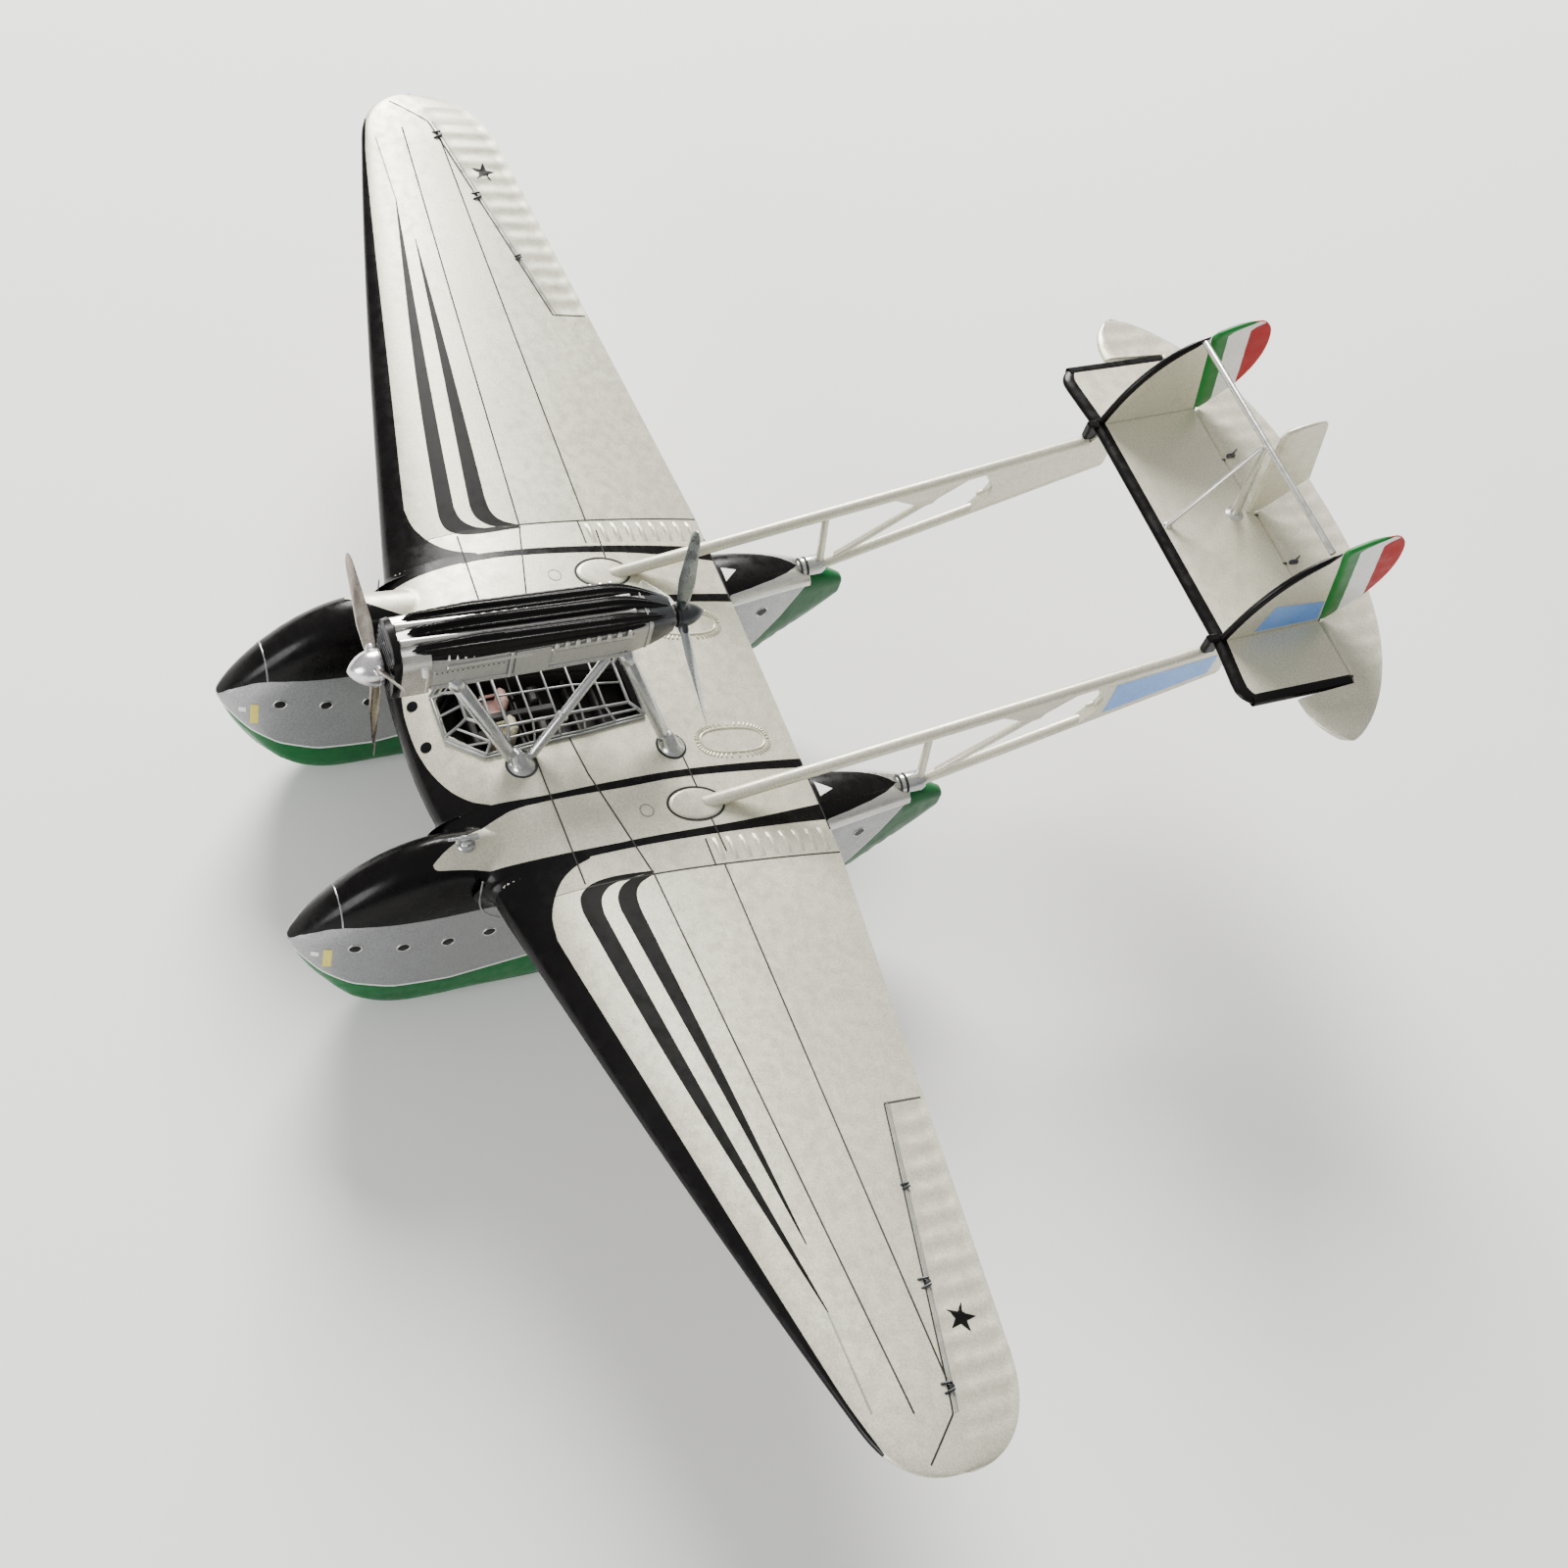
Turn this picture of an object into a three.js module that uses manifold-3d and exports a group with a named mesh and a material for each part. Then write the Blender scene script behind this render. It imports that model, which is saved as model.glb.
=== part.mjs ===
// Display model of a twin-hull flying boat with two propellers in tandem over the wing.
// Millimetres. +Z is up, the noses point to -Y and the port wing to +X.
// The keels stand on z = 0, and x = y = 0 is the middle of the model's outer box.

import * as THREE from 'three';
import { mergeVertices } from 'three/addons/utils/BufferGeometryUtils.js';
import Module from 'manifold-3d';

const wasm = await Module();
wasm.setup();

// ---------------------------------------------------------------- driving dimensions

const SEAM = 0.08; // clearance between pieces that are fixed face to face
const RUNNING = 0.1; // radial clearance round a turning pin
const TURN = 2 * Math.PI;
const DEGREE = Math.PI / 180;

const wing = {
  halfSpan: 84.6,
  jointX: 22, // chordwise joint between the centre section and an outer panel
  kinkX: 19, // the leading edge sweeps less outside this station
  noseY: -44.2, // leading edge on the centre line
  kinkY: -40.6,
  sweep: 13.3,
  sweepCubic: 1.4,
  tailY: -4.6, // trailing edge on the centre line
  jointTailY: -4.65,
  trailingTaper: 0.128,
  tipY: -19.7, // the outline of the tip closes here
  noseRound: { start: 78, power: 2.8 },
  tailRound: { start: 75.5, power: 2.4 },
  noseZ: 22.6,
  tailZ: 21.9,
  dihedral: 0.11,
  crown: { root: 0.103, tip: 0.065 }, // height above the chord line, per chord
  belly: { root: 0.068, tip: 0.04 },
  edge: 0.14, // half thickness of the trailing edge
};

const hull = {
  x: 14.7,
  noseY: -59,
  noseZ: 15.5,
  bowEndY: -44,
  deckZ: 26.2,
  halfBeam: 3.75,
  bowLength: 16,
  sternStartY: -8,
  sternY: 11,
  sternDeckZ: 21.9, // deck at the wing's trailing edge
  sternDrop: 4.2, // fall of the deck from there to the stern
  stepY: -14,
  stepHeight: 1,
  sternRise: 13.3,
  chine: 2.4, // height of the chine above the keel
  keelHalf: 0.6, // half width of the flat keel strip
  shoulder: 0.7, // where the side starts to round over, per depth
  sternShoulder: 0.87, // the same behind the wing, where the deck is flatter
  bottomZ: 6.6, // top of the separate planing bottom
};

const fairing = { endY: -30 };
const gun = {
  y: -42.2,
  z: 26.16,
  ringRadius: 0.85,
  ringHeight: 0.45,
  barrelRadius: 0.16,
  barrelZ: 27.1,
  reach: 1.8,
};

const thrust = { z: 36.35, frontY: -47.7, rearY: -17 };
const propeller = {
  radius: 11.5,
  chord: 1.8,
  widest: 0.62, // share of the radius where a blade is widest
  thickness: 0.45,
  firstAngle: { front: 42, rear: 96 }, // degrees from +X toward +Z
  pin: 0.4,
  pinReach: 0.8, // how far a pin goes into its spinner
};
const spinnerSize = { front: { length: 2.7, radius: 1.75 }, rear: { length: 2.5, radius: 1.25 } };
const nacelle = {
  front: -43.2,
  taperY: -22.5, // the crankcase narrows behind here
  shoulderY: -20,
  rear: -18.1,
  half: 2.9,
  low: 34.6,
  side: 39.4,
  boreEndY: -22.5,
};
const radiatorSize = { front: -46.9, plateRear: -46.2, boreEndY: -44.4 };
const bank = { centreZ: 41.3, sideZ: 40.8, sideX: 1.95, radius: 0.8, front: -45.4, rear: -20.4 };
const exhaust = { frontY: -41.8, rearY: -31.6, count: 8, pitch: 1.05, low: 38.4, high: 38.85, tip: 39.2 };

const canopy = {
  rim: [[2.4, -40.6], [5.6, -37.4], [5.6, -35.2], [4.9, -27], [3.8, -20.2]],
  top: [[1.6, -38.4], [3.5, -36.2], [3.6, -34.8], [3.2, -27], [2.5, -21.6]],
  topZ: [27.3, 27.7, 27.8, 27.4, 26.3],
  bar: 0.17,
  standoff: 0.32, // the rim's middle above the wing skin
};
const cockpit = {
  floorZ: 20.9,
  inset: 0.35, // opening inside the canopy rim
  gap: 0.1, // tub inside the opening
  wall: 0.3,
  rimZ: 24,
  underSkin: 0.5, // the tub stays this far below the wing's surface
};
const chair = { x: 1.7, half: 1, front: -35.6, back: -33.2, low: 21.5, pan: 22.6, top: 25.2, thick: 0.6 };

const strut = {
  frontFoot: [7.4, -34.4, 25.7],
  rearFoot: [7.75, -18.6, 24.6],
  frontTop: [2.5, -40.7, 35.6],
  diagonalTop: [2.5, -25.2, 34.9],
  rearTop: [2.5, -23.4, 34.9],
  legRadius: 0.72,
  diagonalRadius: 0.5,
  flare: { front: 1.35, rear: 1.3, above: 0.5, below: 1 },
};

const boom = {
  foot: [-17.6, 24.5],
  upperEnd: [37, 35],
  lowerStart: [8.3, 20.3],
  lowerEnd: [40, 31.2],
  upperRadius: 0.7,
  lowerRadius: 0.62,
  postTop: [6.6, 28.4],
  postFoot: [7.9, 20.4],
  postRadius: 0.42,
  braceStart: [9.5, 21.4],
  braceEnd: [21.5, 31.2],
  braceRadius: 0.4,
  webFront: 25.5,
  webHalf: 0.5,
};

const tail = {
  z: 37,
  noseY: 37.4,
  hingeY: 49.8,
  half: 0.5,
  stubX: 23.4,
  horn: { y: 42.8, x: 27.2 },
  tipX: 29.8,
  tipY: 46.6,
  elevatorY: 59.2,
  elevatorHalf: 0.4,
  finX: 15.1,
  finHalf: 0.45,
  rudderHalf: 0.35,
  barY: 46.4,
  barZ: 48.8,
  barRadius: 0.35,
};

const colour = {
  silver: [0xb9b8b2, 0.42, 0.65],
  darkSilver: [0x8a8b8d, 0.4, 0.75],
  black: [0x0d0c0c, 0.28, 0.1],
  green: [0x14803c, 0.4, 0.05],
  steel: [0x9b9a96, 0.3, 0.9],
  cabin: [0x2b2c2c, 0.6, 0.1],
  seat: [0xcfae9f, 0.7, 0],
};

// ---------------------------------------------------------------- making and cutting solids

const model = new THREE.Group();

function addPart(name, geometry, [hex, roughness, metalness]) {
  const material = new THREE.MeshStandardMaterial({ color: hex, roughness, metalness });
  const mesh = new THREE.Mesh(geometry, material);
  mesh.name = name;
  model.add(mesh);
}

function toSolid(geometry) {
  const bare = geometry.clone();
  bare.deleteAttribute('normal');
  bare.deleteAttribute('uv');
  const merged = mergeVertices(bare, 1e-4);
  const vertProperties = new Float32Array(merged.attributes.position.array);
  const triVerts = new Uint32Array(merged.index.array);
  return new wasm.Manifold(new wasm.Mesh({ numProp: 3, vertProperties, triVerts }));
}

function toGeometry(solid) {
  const mesh = solid.getMesh();
  const geometry = new THREE.BufferGeometry();
  geometry.setAttribute('position', new THREE.BufferAttribute(new Float32Array(mesh.vertProperties), 3));
  geometry.setIndex(new THREE.BufferAttribute(new Uint32Array(mesh.triVerts), 1));
  return geometry;
}

const join = (first, ...rest) =>
  toGeometry(rest.reduce((sum, piece) => sum.add(toSolid(piece)), toSolid(first)));

const cut = (first, ...rest) =>
  toGeometry(rest.reduce((left, piece) => left.subtract(toSolid(piece)), toSolid(first)));

const keep = (first, second) => toGeometry(toSolid(first).intersect(toSolid(second)));

// A closed skin through rings of equal length, with a flat fan over each end ring.
function loft(rings) {
  const count = rings[0].length;
  const points = rings.flat();
  const index = [];
  for (let i = 0; i < rings.length - 1; i += 1) {
    for (let j = 0; j < count; j += 1) {
      const next = (j + 1) % count;
      const [a, b] = [i * count + j, i * count + next];
      index.push(a, b, b + count, a, b + count, a + count);
    }
  }
  const capAt = (start, reversed) => {
    const centre = new THREE.Vector3();
    points.slice(start, start + count).forEach((point) => centre.add(point));
    points.push(centre.divideScalar(count));
    for (let j = 0; j < count; j += 1) {
      const pair = [start + j, start + ((j + 1) % count)];
      index.push(points.length - 1, ...(reversed ? pair.reverse() : pair));
    }
  };
  capAt(0, true);
  capAt((rings.length - 1) * count, false);
  const geometry = new THREE.BufferGeometry().setFromPoints(points);
  geometry.setIndex(index);
  return facingOut(geometry);
}

// Turns every face round if the skin encloses a negative volume.
function facingOut(geometry) {
  const position = geometry.attributes.position;
  const index = geometry.index.array;
  const corner = (k) => new THREE.Vector3().fromBufferAttribute(position, index[k]);
  let volume = 0;
  for (let k = 0; k < index.length; k += 3) {
    volume += corner(k).dot(corner(k + 1).cross(corner(k + 2)));
  }
  if (volume < 0) {
    for (let k = 0; k < index.length; k += 3) {
      [index[k + 1], index[k + 2]] = [index[k + 2], index[k + 1]];
    }
  }
  return geometry;
}

function box(low, high) {
  const size = high.map((value, k) => value - low[k]);
  const middle = high.map((value, k) => (value + low[k]) / 2);
  return new THREE.BoxGeometry(...size).translate(...middle);
}

// A straight tube or taper between two points.
function rod(start, end, startRadius, endRadius = startRadius, sides = 12) {
  const [a, b] = [new THREE.Vector3(...start), new THREE.Vector3(...end)];
  const along = b.clone().sub(a);
  const geometry = new THREE.CylinderGeometry(endRadius, startRadius, along.length(), sides);
  const turn = new THREE.Quaternion().setFromUnitVectors(
    new THREE.Vector3(0, 1, 0),
    along.clone().normalize(),
  );
  return geometry.applyQuaternion(turn).translate(...a.add(b).multiplyScalar(0.5).toArray());
}

function mirrored(geometry) {
  return facingOut(mergedCopy(geometry).scale(-1, 1, 1));
}

function mergedCopy(geometry) {
  const bare = geometry.clone();
  bare.deleteAttribute('normal');
  bare.deleteAttribute('uv');
  return mergeVertices(bare, 1e-4);
}

// Adds a port piece and its starboard twin.
function addPair(name, geometry, look) {
  addPart(`port_${name}`, geometry, look);
  addPart(`starboard_${name}`, mirrored(geometry), look);
}

// Gives a flat outline thickness. "plan" outlines hold x, y and "side" outlines hold y, z.
function plate(outline, plane, centre, half) {
  const shape = outline instanceof THREE.Shape ? outline : new THREE.Shape(outline);
  const geometry = new THREE.ExtrudeGeometry(shape, {
    depth: 2 * half,
    bevelEnabled: false,
    curveSegments: 10,
  });
  geometry.translate(0, 0, centre - half);
  if (plane === 'side') {
    geometry.applyMatrix4(new THREE.Matrix4().set(0, 0, 1, 0, 1, 0, 0, 0, 0, 1, 0, 0, 0, 0, 0, 1));
  }
  return geometry;
}

const points2 = (pairs) => pairs.map(([a, b]) => new THREE.Vector2(a, b));

// ---------------------------------------------------------------- wing

const roundOff = (reach, power) => (1 - Math.min(1, Math.max(0, reach)) ** power) ** (1 / power);

function noseLine(x) {
  if (x < wing.kinkX) {
    return wing.noseY + (wing.kinkY - wing.noseY) * (x / wing.kinkX) ** 2.5;
  }
  const reach = (x - wing.kinkX) / (wing.halfSpan - wing.kinkX);
  const line = wing.kinkY + wing.sweep * reach + wing.sweepCubic * reach ** 3;
  const { start, power } = wing.noseRound;
  return wing.tipY + (line - wing.tipY) * roundOff((x - start) / (wing.halfSpan - start), power);
}

function tailLine(x) {
  const inner = wing.tailY + ((wing.jointTailY - wing.tailY) * Math.min(x, wing.jointX)) / wing.jointX;
  const line = inner - wing.trailingTaper * Math.max(0, x - wing.jointX);
  const { start, power } = wing.tailRound;
  return wing.tipY + (line - wing.tipY) * roundOff((x - start) / (wing.halfSpan - start), power);
}

// Half thickness of the section along the chord, 1 at its thickest.
const swell = (t) =>
  10 * (0.2969 * Math.sqrt(t) - 0.126 * t - 0.3516 * t ** 2 + 0.2843 * t ** 3 - 0.1036 * t ** 4);

function wingHeight(x, y, upper) {
  const [nose, end] = [noseLine(x), tailLine(x)];
  const chord = end - nose;
  const t = Math.min(1, Math.max(0, (y - nose) / chord));
  const reach = Math.max(0, x - wing.jointX) / (wing.halfSpan - wing.jointX);
  const side = upper ? wing.crown : wing.belly;
  const height = chord * (side.root + (side.tip - side.root) * reach) * swell(t) + wing.edge * t;
  const line = wing.noseZ + (wing.tailZ - wing.noseZ) * t + wing.dihedral * Math.max(0, x - wing.jointX);
  return line + (upper ? height : -height);
}

const chordSteps = Array.from({ length: 13 }, (_, k) => (1 - Math.cos((Math.PI * k) / 12)) / 2);

function wingRing(x, grow = 0) {
  const station = Math.abs(x);
  const [nose, end] = [noseLine(station), tailLine(station)];
  const at = (t, upper) => {
    const y = nose + (end - nose) * t;
    const spread = y + grow * (2 * t - 1);
    return new THREE.Vector3(x, spread, wingHeight(station, y, upper) + (upper ? grow : -grow));
  };
  const top = chordSteps.map((t) => at(t, true));
  const bottom = chordSteps.slice(1).reverse().map((t) => at(t, false));
  return grow > 0 ? [...top, ...bottom, at(0, false)] : [...top, ...bottom];
}

const centreStations = [-22, -19, -14, -8, 0, 8, 14, 19, 22].map((x) => x * (1 - SEAM / wing.jointX));
const wideStations = [-23, -19, -14, -8, 0, 8, 14, 19, 23];
const outerSteps = [0, 0.17, 0.34, 0.51, 0.66, 0.77, 0.86, 0.925, 0.967, 0.99, 0.9985];
const outerStations = outerSteps.map((s) => wing.jointX + SEAM + (wing.halfSpan - wing.jointX - SEAM) * s);

const centreWing = loft(centreStations.map((x) => wingRing(x)));
const wingClearance = loft(wideStations.map((x) => wingRing(x, SEAM)));

const pocket = plate(points2(closedOutline(cockpit.inset)), 'plan', cockpit.floorZ + 5, 5);

// The outline of the cockpit opening, a little inside the canopy rim.
function closedOutline(inset) {
  const half = canopy.rim.map(([x, y]) => [x - inset, y + (y < -38 ? inset : 0)]);
  return [...half, ...half.map(([x, y]) => [-x, y]).reverse()];
}

addPart('wing_centre_section', cut(centreWing, pocket), colour.silver);
addPair('outer_wing', loft(outerStations.map((x) => wingRing(x))), colour.silver);

// ---------------------------------------------------------------- hulls

function hullDeck(y) {
  if (y < hull.bowEndY) {
    const reach = (hull.bowEndY - y) / (hull.bowEndY - hull.noseY);
    return hull.noseZ + (hull.deckZ - hull.noseZ) * (1 - reach ** 2);
  }
  if (y < wing.tailY) {
    const reach = (y - hull.bowEndY) / (wing.tailY - hull.bowEndY);
    return hull.deckZ + (hull.sternDeckZ - hull.deckZ) * reach;
  }
  const reach = (y - wing.tailY) / (hull.sternY - wing.tailY);
  return hull.sternDeckZ - hull.sternDrop * reach ** 2.5;
}

function hullKeel(y) {
  if (y < hull.bowEndY) {
    return hull.noseZ * ((hull.bowEndY - y) / (hull.bowEndY - hull.noseY)) ** 3;
  }
  if (y <= hull.stepY) {
    return 0;
  }
  return hull.stepHeight + hull.sternRise * ((y - hull.stepY) / (hull.sternY - hull.stepY)) ** 1.6;
}

function hullBeam(y) {
  if (y < hull.noseY + hull.bowLength) {
    const reach = (hull.noseY + hull.bowLength - y) / hull.bowLength;
    return hull.halfBeam * Math.sqrt(1 - Math.min(1, reach) ** 2.4);
  }
  if (y <= hull.sternStartY) {
    return hull.halfBeam;
  }
  const reach = (y - hull.sternStartY) / (hull.sternY - hull.sternStartY);
  return hull.halfBeam - (hull.halfBeam - 0.7) * reach ** 1.7;
}

function hullShoulder(y) {
  const behind = Math.min(1, Math.max(0, (y - hull.sternStartY + 4) / 8));
  return hull.shoulder + (hull.sternShoulder - hull.shoulder) * behind;
}

function hullRing(y) {
  const [deck, keel, beam] = [hullDeck(y), hullKeel(y), hullBeam(y)];
  const depth = deck - keel;
  const rise = Math.min(hull.chine, depth * 0.2);
  const side = keel + depth * hullShoulder(y);
  const half = [
    [Math.min(hull.keelHalf, beam * 0.4), keel],
    [beam * 0.9, keel + rise],
    [beam, keel + rise + 0.15 * depth],
  ];
  for (let k = 0; k <= 5; k += 1) {
    const angle = (k * Math.PI) / 10;
    half.push([beam * Math.cos(angle) ** 0.8, side + (deck - side) * Math.sin(angle) ** 0.9]);
  }
  half[half.length - 1][0] = 0;
  const twin = half.slice(0, -1).map(([x, z]) => [-x, z]).reverse();
  return [...half, ...twin].map(([x, z]) => new THREE.Vector3(hull.x + x, y, z));
}

const bowSteps = [0.004, 0.05, 0.15, 0.3, 0.48, 0.68, 0.85].map((s) => hull.noseY + 15 * s);
const midSteps = [hull.bowEndY, -36, -28, -20, hull.stepY, hull.stepY + 0.01, -11, hull.sternStartY];
const sternSteps = [-4, 0, 4, 7, 9.5, hull.sternY];
const hullSkin = loft([...bowSteps, ...midSteps, ...sternSteps].map(hullRing));

const aboveWing = box([5, wing.noseY + 0.6, wing.noseZ - 0.5], [25, wing.tailY - 0.1, 40]);
const overBottom = box([5, -70, hull.bottomZ], [25, 20, 60]);
const underBottom = box([5, -70, -5], [25, 20, hull.bottomZ + SEAM]);

addPair('hull', cut(hullSkin, wingClearance, aboveWing, underBottom), colour.silver);
addPair('hull_bottom', cut(hullSkin, overBottom), colour.green);

// The deck carries on over the wing's leading edge as a low fairing, which the gun ring stands on.
const overWing = box([5, wing.noseY + 0.6 + SEAM, wing.noseZ], [25, fairing.endY, 40]);
addPair('deck_fairing', cut(keep(hullSkin, overWing), wingClearance), colour.silver);

function makeGun() {
  const { y, z, ringRadius, ringHeight, barrelRadius, barrelZ, reach } = gun;
  const ring = rod([hull.x, y, z], [hull.x, y, z + ringHeight], ringRadius, ringRadius * 0.85);
  const pivot = rod([hull.x, y, z], [hull.x, y, barrelZ], ringRadius * 0.35);
  const barrel = rod([hull.x - 0.2, y - reach, barrelZ], [hull.x, y + 0.9, barrelZ], barrelRadius);
  return join(ring, pivot, barrel);
}
addPart('bow_gun', makeGun(), colour.darkSilver);

// ---------------------------------------------------------------- cockpit

function makeTub() {
  const { floorZ, inset, gap, wall, rimZ } = cockpit;
  const low = floorZ + SEAM;
  const half = (rimZ - low) / 2;
  const outside = plate(points2(closedOutline(inset + gap)), 'plan', low + half, half);
  const inside = plate(points2(closedOutline(inset + gap + wall)), 'plan', low + wall + half, half);
  const underSkin = loft(wideStations.map((x) => wingRing(x, -cockpit.underSkin)));
  return keep(cut(outside, inside), underSkin);
}
addPart('cockpit_tub', makeTub(), colour.cabin);

function seat() {
  const { x, half, front, back, low, pan, top, thick } = chair;
  const cushion = box([x - half, front, low], [x + half, back, pan]);
  const rest = box([x - half, back - thick, low], [x + half, back, top]);
  return join(cushion, rest);
}
addPair('seat', seat(), colour.seat);

// The canopy lattice is a ring of bars on the wing, a smaller ring above it and bars between.
function canopyPoints() {
  const rim = canopy.rim.map(([x, y]) => [x, y, wingHeight(Math.abs(x), y, true) + canopy.standoff]);
  const top = canopy.top.map(([x, y], k) => [x, y, canopy.topZ[k]]);
  return { rim, top };
}

function canopyBars() {
  const { rim, top } = canopyPoints();
  const twin = ([x, y, z]) => [-x, y, z];
  const bars = [];
  for (let k = 0; k < rim.length; k += 1) {
    bars.push([rim[k], top[k]], [twin(rim[k]), twin(top[k])], [top[k], twin(top[k])]);
    if (k + 1 < rim.length) {
      bars.push([rim[k], rim[k + 1]], [twin(rim[k]), twin(rim[k + 1])]);
      bars.push([top[k], top[k + 1]], [twin(top[k]), twin(top[k + 1])]);
    }
  }
  bars.push([rim[0], twin(rim[0])], [rim[4], twin(rim[4])]);
  return bars;
}

const lattice = canopyBars().map(([a, b]) => rod(a, b, canopy.bar, canopy.bar, 6));
addPart('canopy_frame', join(...lattice), colour.silver);

// ---------------------------------------------------------------- engine nacelle

// Outline of the crankcase across the flight direction, from the bottom round to the top.
function crankcaseRing(y, scale) {
  const { half, low, side } = nacelle;
  const right = [[1.7, low], [half, low + 1.1], [half, side - 0.5], [half - 0.5, side]];
  const left = right.map(([x, z]) => [-x, z]).reverse();
  return [...right, ...left].map(
    ([x, z]) => new THREE.Vector3(x * scale, y, thrust.z + (z - thrust.z) * scale),
  );
}

const crankcase = loft([
  crankcaseRing(nacelle.front, 1),
  crankcaseRing(nacelle.taperY, 1),
  crankcaseRing(nacelle.shoulderY, 0.82),
  crankcaseRing(nacelle.rear, 0.55),
]);

const boreRadius = propeller.pin + RUNNING;
const bore = (start, end) => rod([0, start, thrust.z], [0, end, thrust.z], boreRadius, boreRadius, 16);
const rearBore = bore(nacelle.boreEndY, nacelle.rear + 1);

// Each cylinder bank is a half-round cover along the nacelle with tapered ends.
function bankCover(x, z) {
  const { radius, front, rear } = bank;
  const foot = nacelle.side + SEAM;
  const ring = (y, scale) => {
    const points = [];
    for (let k = 0; k <= 8; k += 1) {
      const angle = (k * Math.PI) / 8;
      const height = foot + (z - foot) * scale * Math.max(0, Math.sin(angle)) ** 0.7;
      points.push(new THREE.Vector3(x + radius * scale * Math.cos(angle), y, height));
    }
    return points;
  };
  return loft([ring(front, 0.7), ring(front + 1.5, 1), ring(rear - 2, 1), ring(rear - 0.4, 0.6)]);
}

const banks = { port: bank.sideX, centre: 0, starboard: -bank.sideX };
addPart('crankcase', cut(crankcase, rearBore), colour.darkSilver);
for (const [side, x] of Object.entries(banks)) {
  addPart(`${side}_cylinder_bank`, bankCover(x, x === 0 ? bank.centreZ : bank.sideZ), colour.black);
}

// Radiator block in front of the crankcase: a tall face plate and a lower body under the covers.
function radiatorRing(y, scale) {
  const right = [[2, 33.9], [3.05, 34.8], [3.05, 39.4], [2.3, 41], [0.9, 41.5]];
  const left = right.map(([x, z]) => [-x, z]).reverse();
  return [...right, ...left].map(
    ([x, z]) => new THREE.Vector3(x * scale, y, 37.4 + (z - 37.4) * scale),
  );
}
const radiator = loft([
  radiatorRing(radiatorSize.front, 0.86),
  radiatorRing(radiatorSize.front + 0.5, 1),
  radiatorRing(nacelle.front - SEAM, 1),
]);
const overBody = box([-5, radiatorSize.plateRear, nacelle.side], [5, nacelle.front, 45]);
addPart('radiator', cut(radiator, bore(-50, radiatorSize.boreEndY), overBody), colour.silver);

// A row of exhaust stubs on a rail that lies on the side of the crankcase.
function exhaustRow(startY) {
  const { count, pitch, low, high, tip } = exhaust;
  const inner = nacelle.half + SEAM;
  const rail = box([inner, startY, low], [inner + 0.22, startY + count * pitch, high]);
  const stubs = Array.from({ length: count }, (_, k) => {
    const y = startY + (k + 0.5) * pitch;
    return box([inner, y - 0.18, high - 0.1], [inner + 0.26, y + 0.18, tip]);
  });
  return join(rail, ...stubs);
}
addPair('front_exhausts', exhaustRow(exhaust.frontY), colour.darkSilver);
addPair('rear_exhausts', exhaustRow(exhaust.rearY), colour.darkSilver);

// ---------------------------------------------------------------- propellers

function blade(angle) {
  const { radius, chord, thickness, widest } = propeller;
  const tipLength = 1.005 - widest;
  const rings = [0.06, 0.2, 0.38, 0.55, 0.72, 0.86, 0.95, 0.995].map((s) => {
    const shape = s < widest ? 0.5 + (0.5 * s) / widest : (1 - ((s - widest) / tipLength) ** 3) ** 0.5;
    const width = chord * shape;
    const pitch = (70 - 48 * s) * DEGREE;
    const thick = thickness * (1.25 - s);
    return Array.from({ length: 8 }, (_, k) => {
      const around = (k * TURN) / 8;
      const [a, b] = [(width / 2) * Math.cos(around), (thick / 2) * Math.sin(around)];
      return new THREE.Vector3(
        radius * s,
        b * Math.cos(pitch) - a * Math.sin(pitch),
        a * Math.cos(pitch) + b * Math.sin(pitch),
      );
    });
  });
  return loft(rings).rotateY(-angle);
}

// Spinner profile from the open back to the rounded tip, turned about the thrust line.
function spinner({ length, radius }, facing) {
  const steps = 8;
  const profile = [new THREE.Vector2(0, -0.6), new THREE.Vector2(radius * 0.92, -0.6)];
  for (let k = 0; k <= steps; k += 1) {
    const reach = k / steps;
    profile.push(new THREE.Vector2(radius * (1 - reach ** 2.2) ** 0.8, length * reach));
  }
  profile[profile.length - 1].x = 0;
  return new THREE.LatheGeometry(profile, 20).rotateX(facing > 0 ? 0 : Math.PI);
}

function makePropeller(end, y, facing) {
  const blades = [0, 1, 2].map((k) => blade((propeller.firstAngle[end] + 120 * k) * DEGREE));
  const solid = mergedCopy(join(spinner(spinnerSize[end], facing), ...blades));
  solid.translate(0, y, thrust.z);
  const pinHole = propeller.pin + SEAM / 2;
  const holeEnd = y + facing * (propeller.pinReach + 0.1);
  const hole = rod([0, y - facing * 2, thrust.z], [0, holeEnd, thrust.z], pinHole, pinHole, 16);
  return cut(solid, hole);
}

function pin(start, end) {
  return rod([0, start, thrust.z], [0, end, thrust.z], propeller.pin, propeller.pin, 16);
}

const { frontY, rearY } = thrust;
addPart('front_propeller', makePropeller('front', frontY, -1), colour.steel);
addPart('front_propeller_pin', pin(radiatorSize.boreEndY - 0.2, frontY - propeller.pinReach), colour.steel);
addPart('rear_propeller', makePropeller('rear', rearY, 1), colour.steel);
addPart('rear_propeller_pin', pin(nacelle.boreEndY + 0.5, rearY + propeller.pinReach), colour.steel);

// ---------------------------------------------------------------- nacelle struts

const crankcaseClearance = box(
  [-nacelle.half - SEAM, -60, nacelle.low - SEAM],
  [nacelle.half + SEAM, 0, nacelle.side],
);

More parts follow.
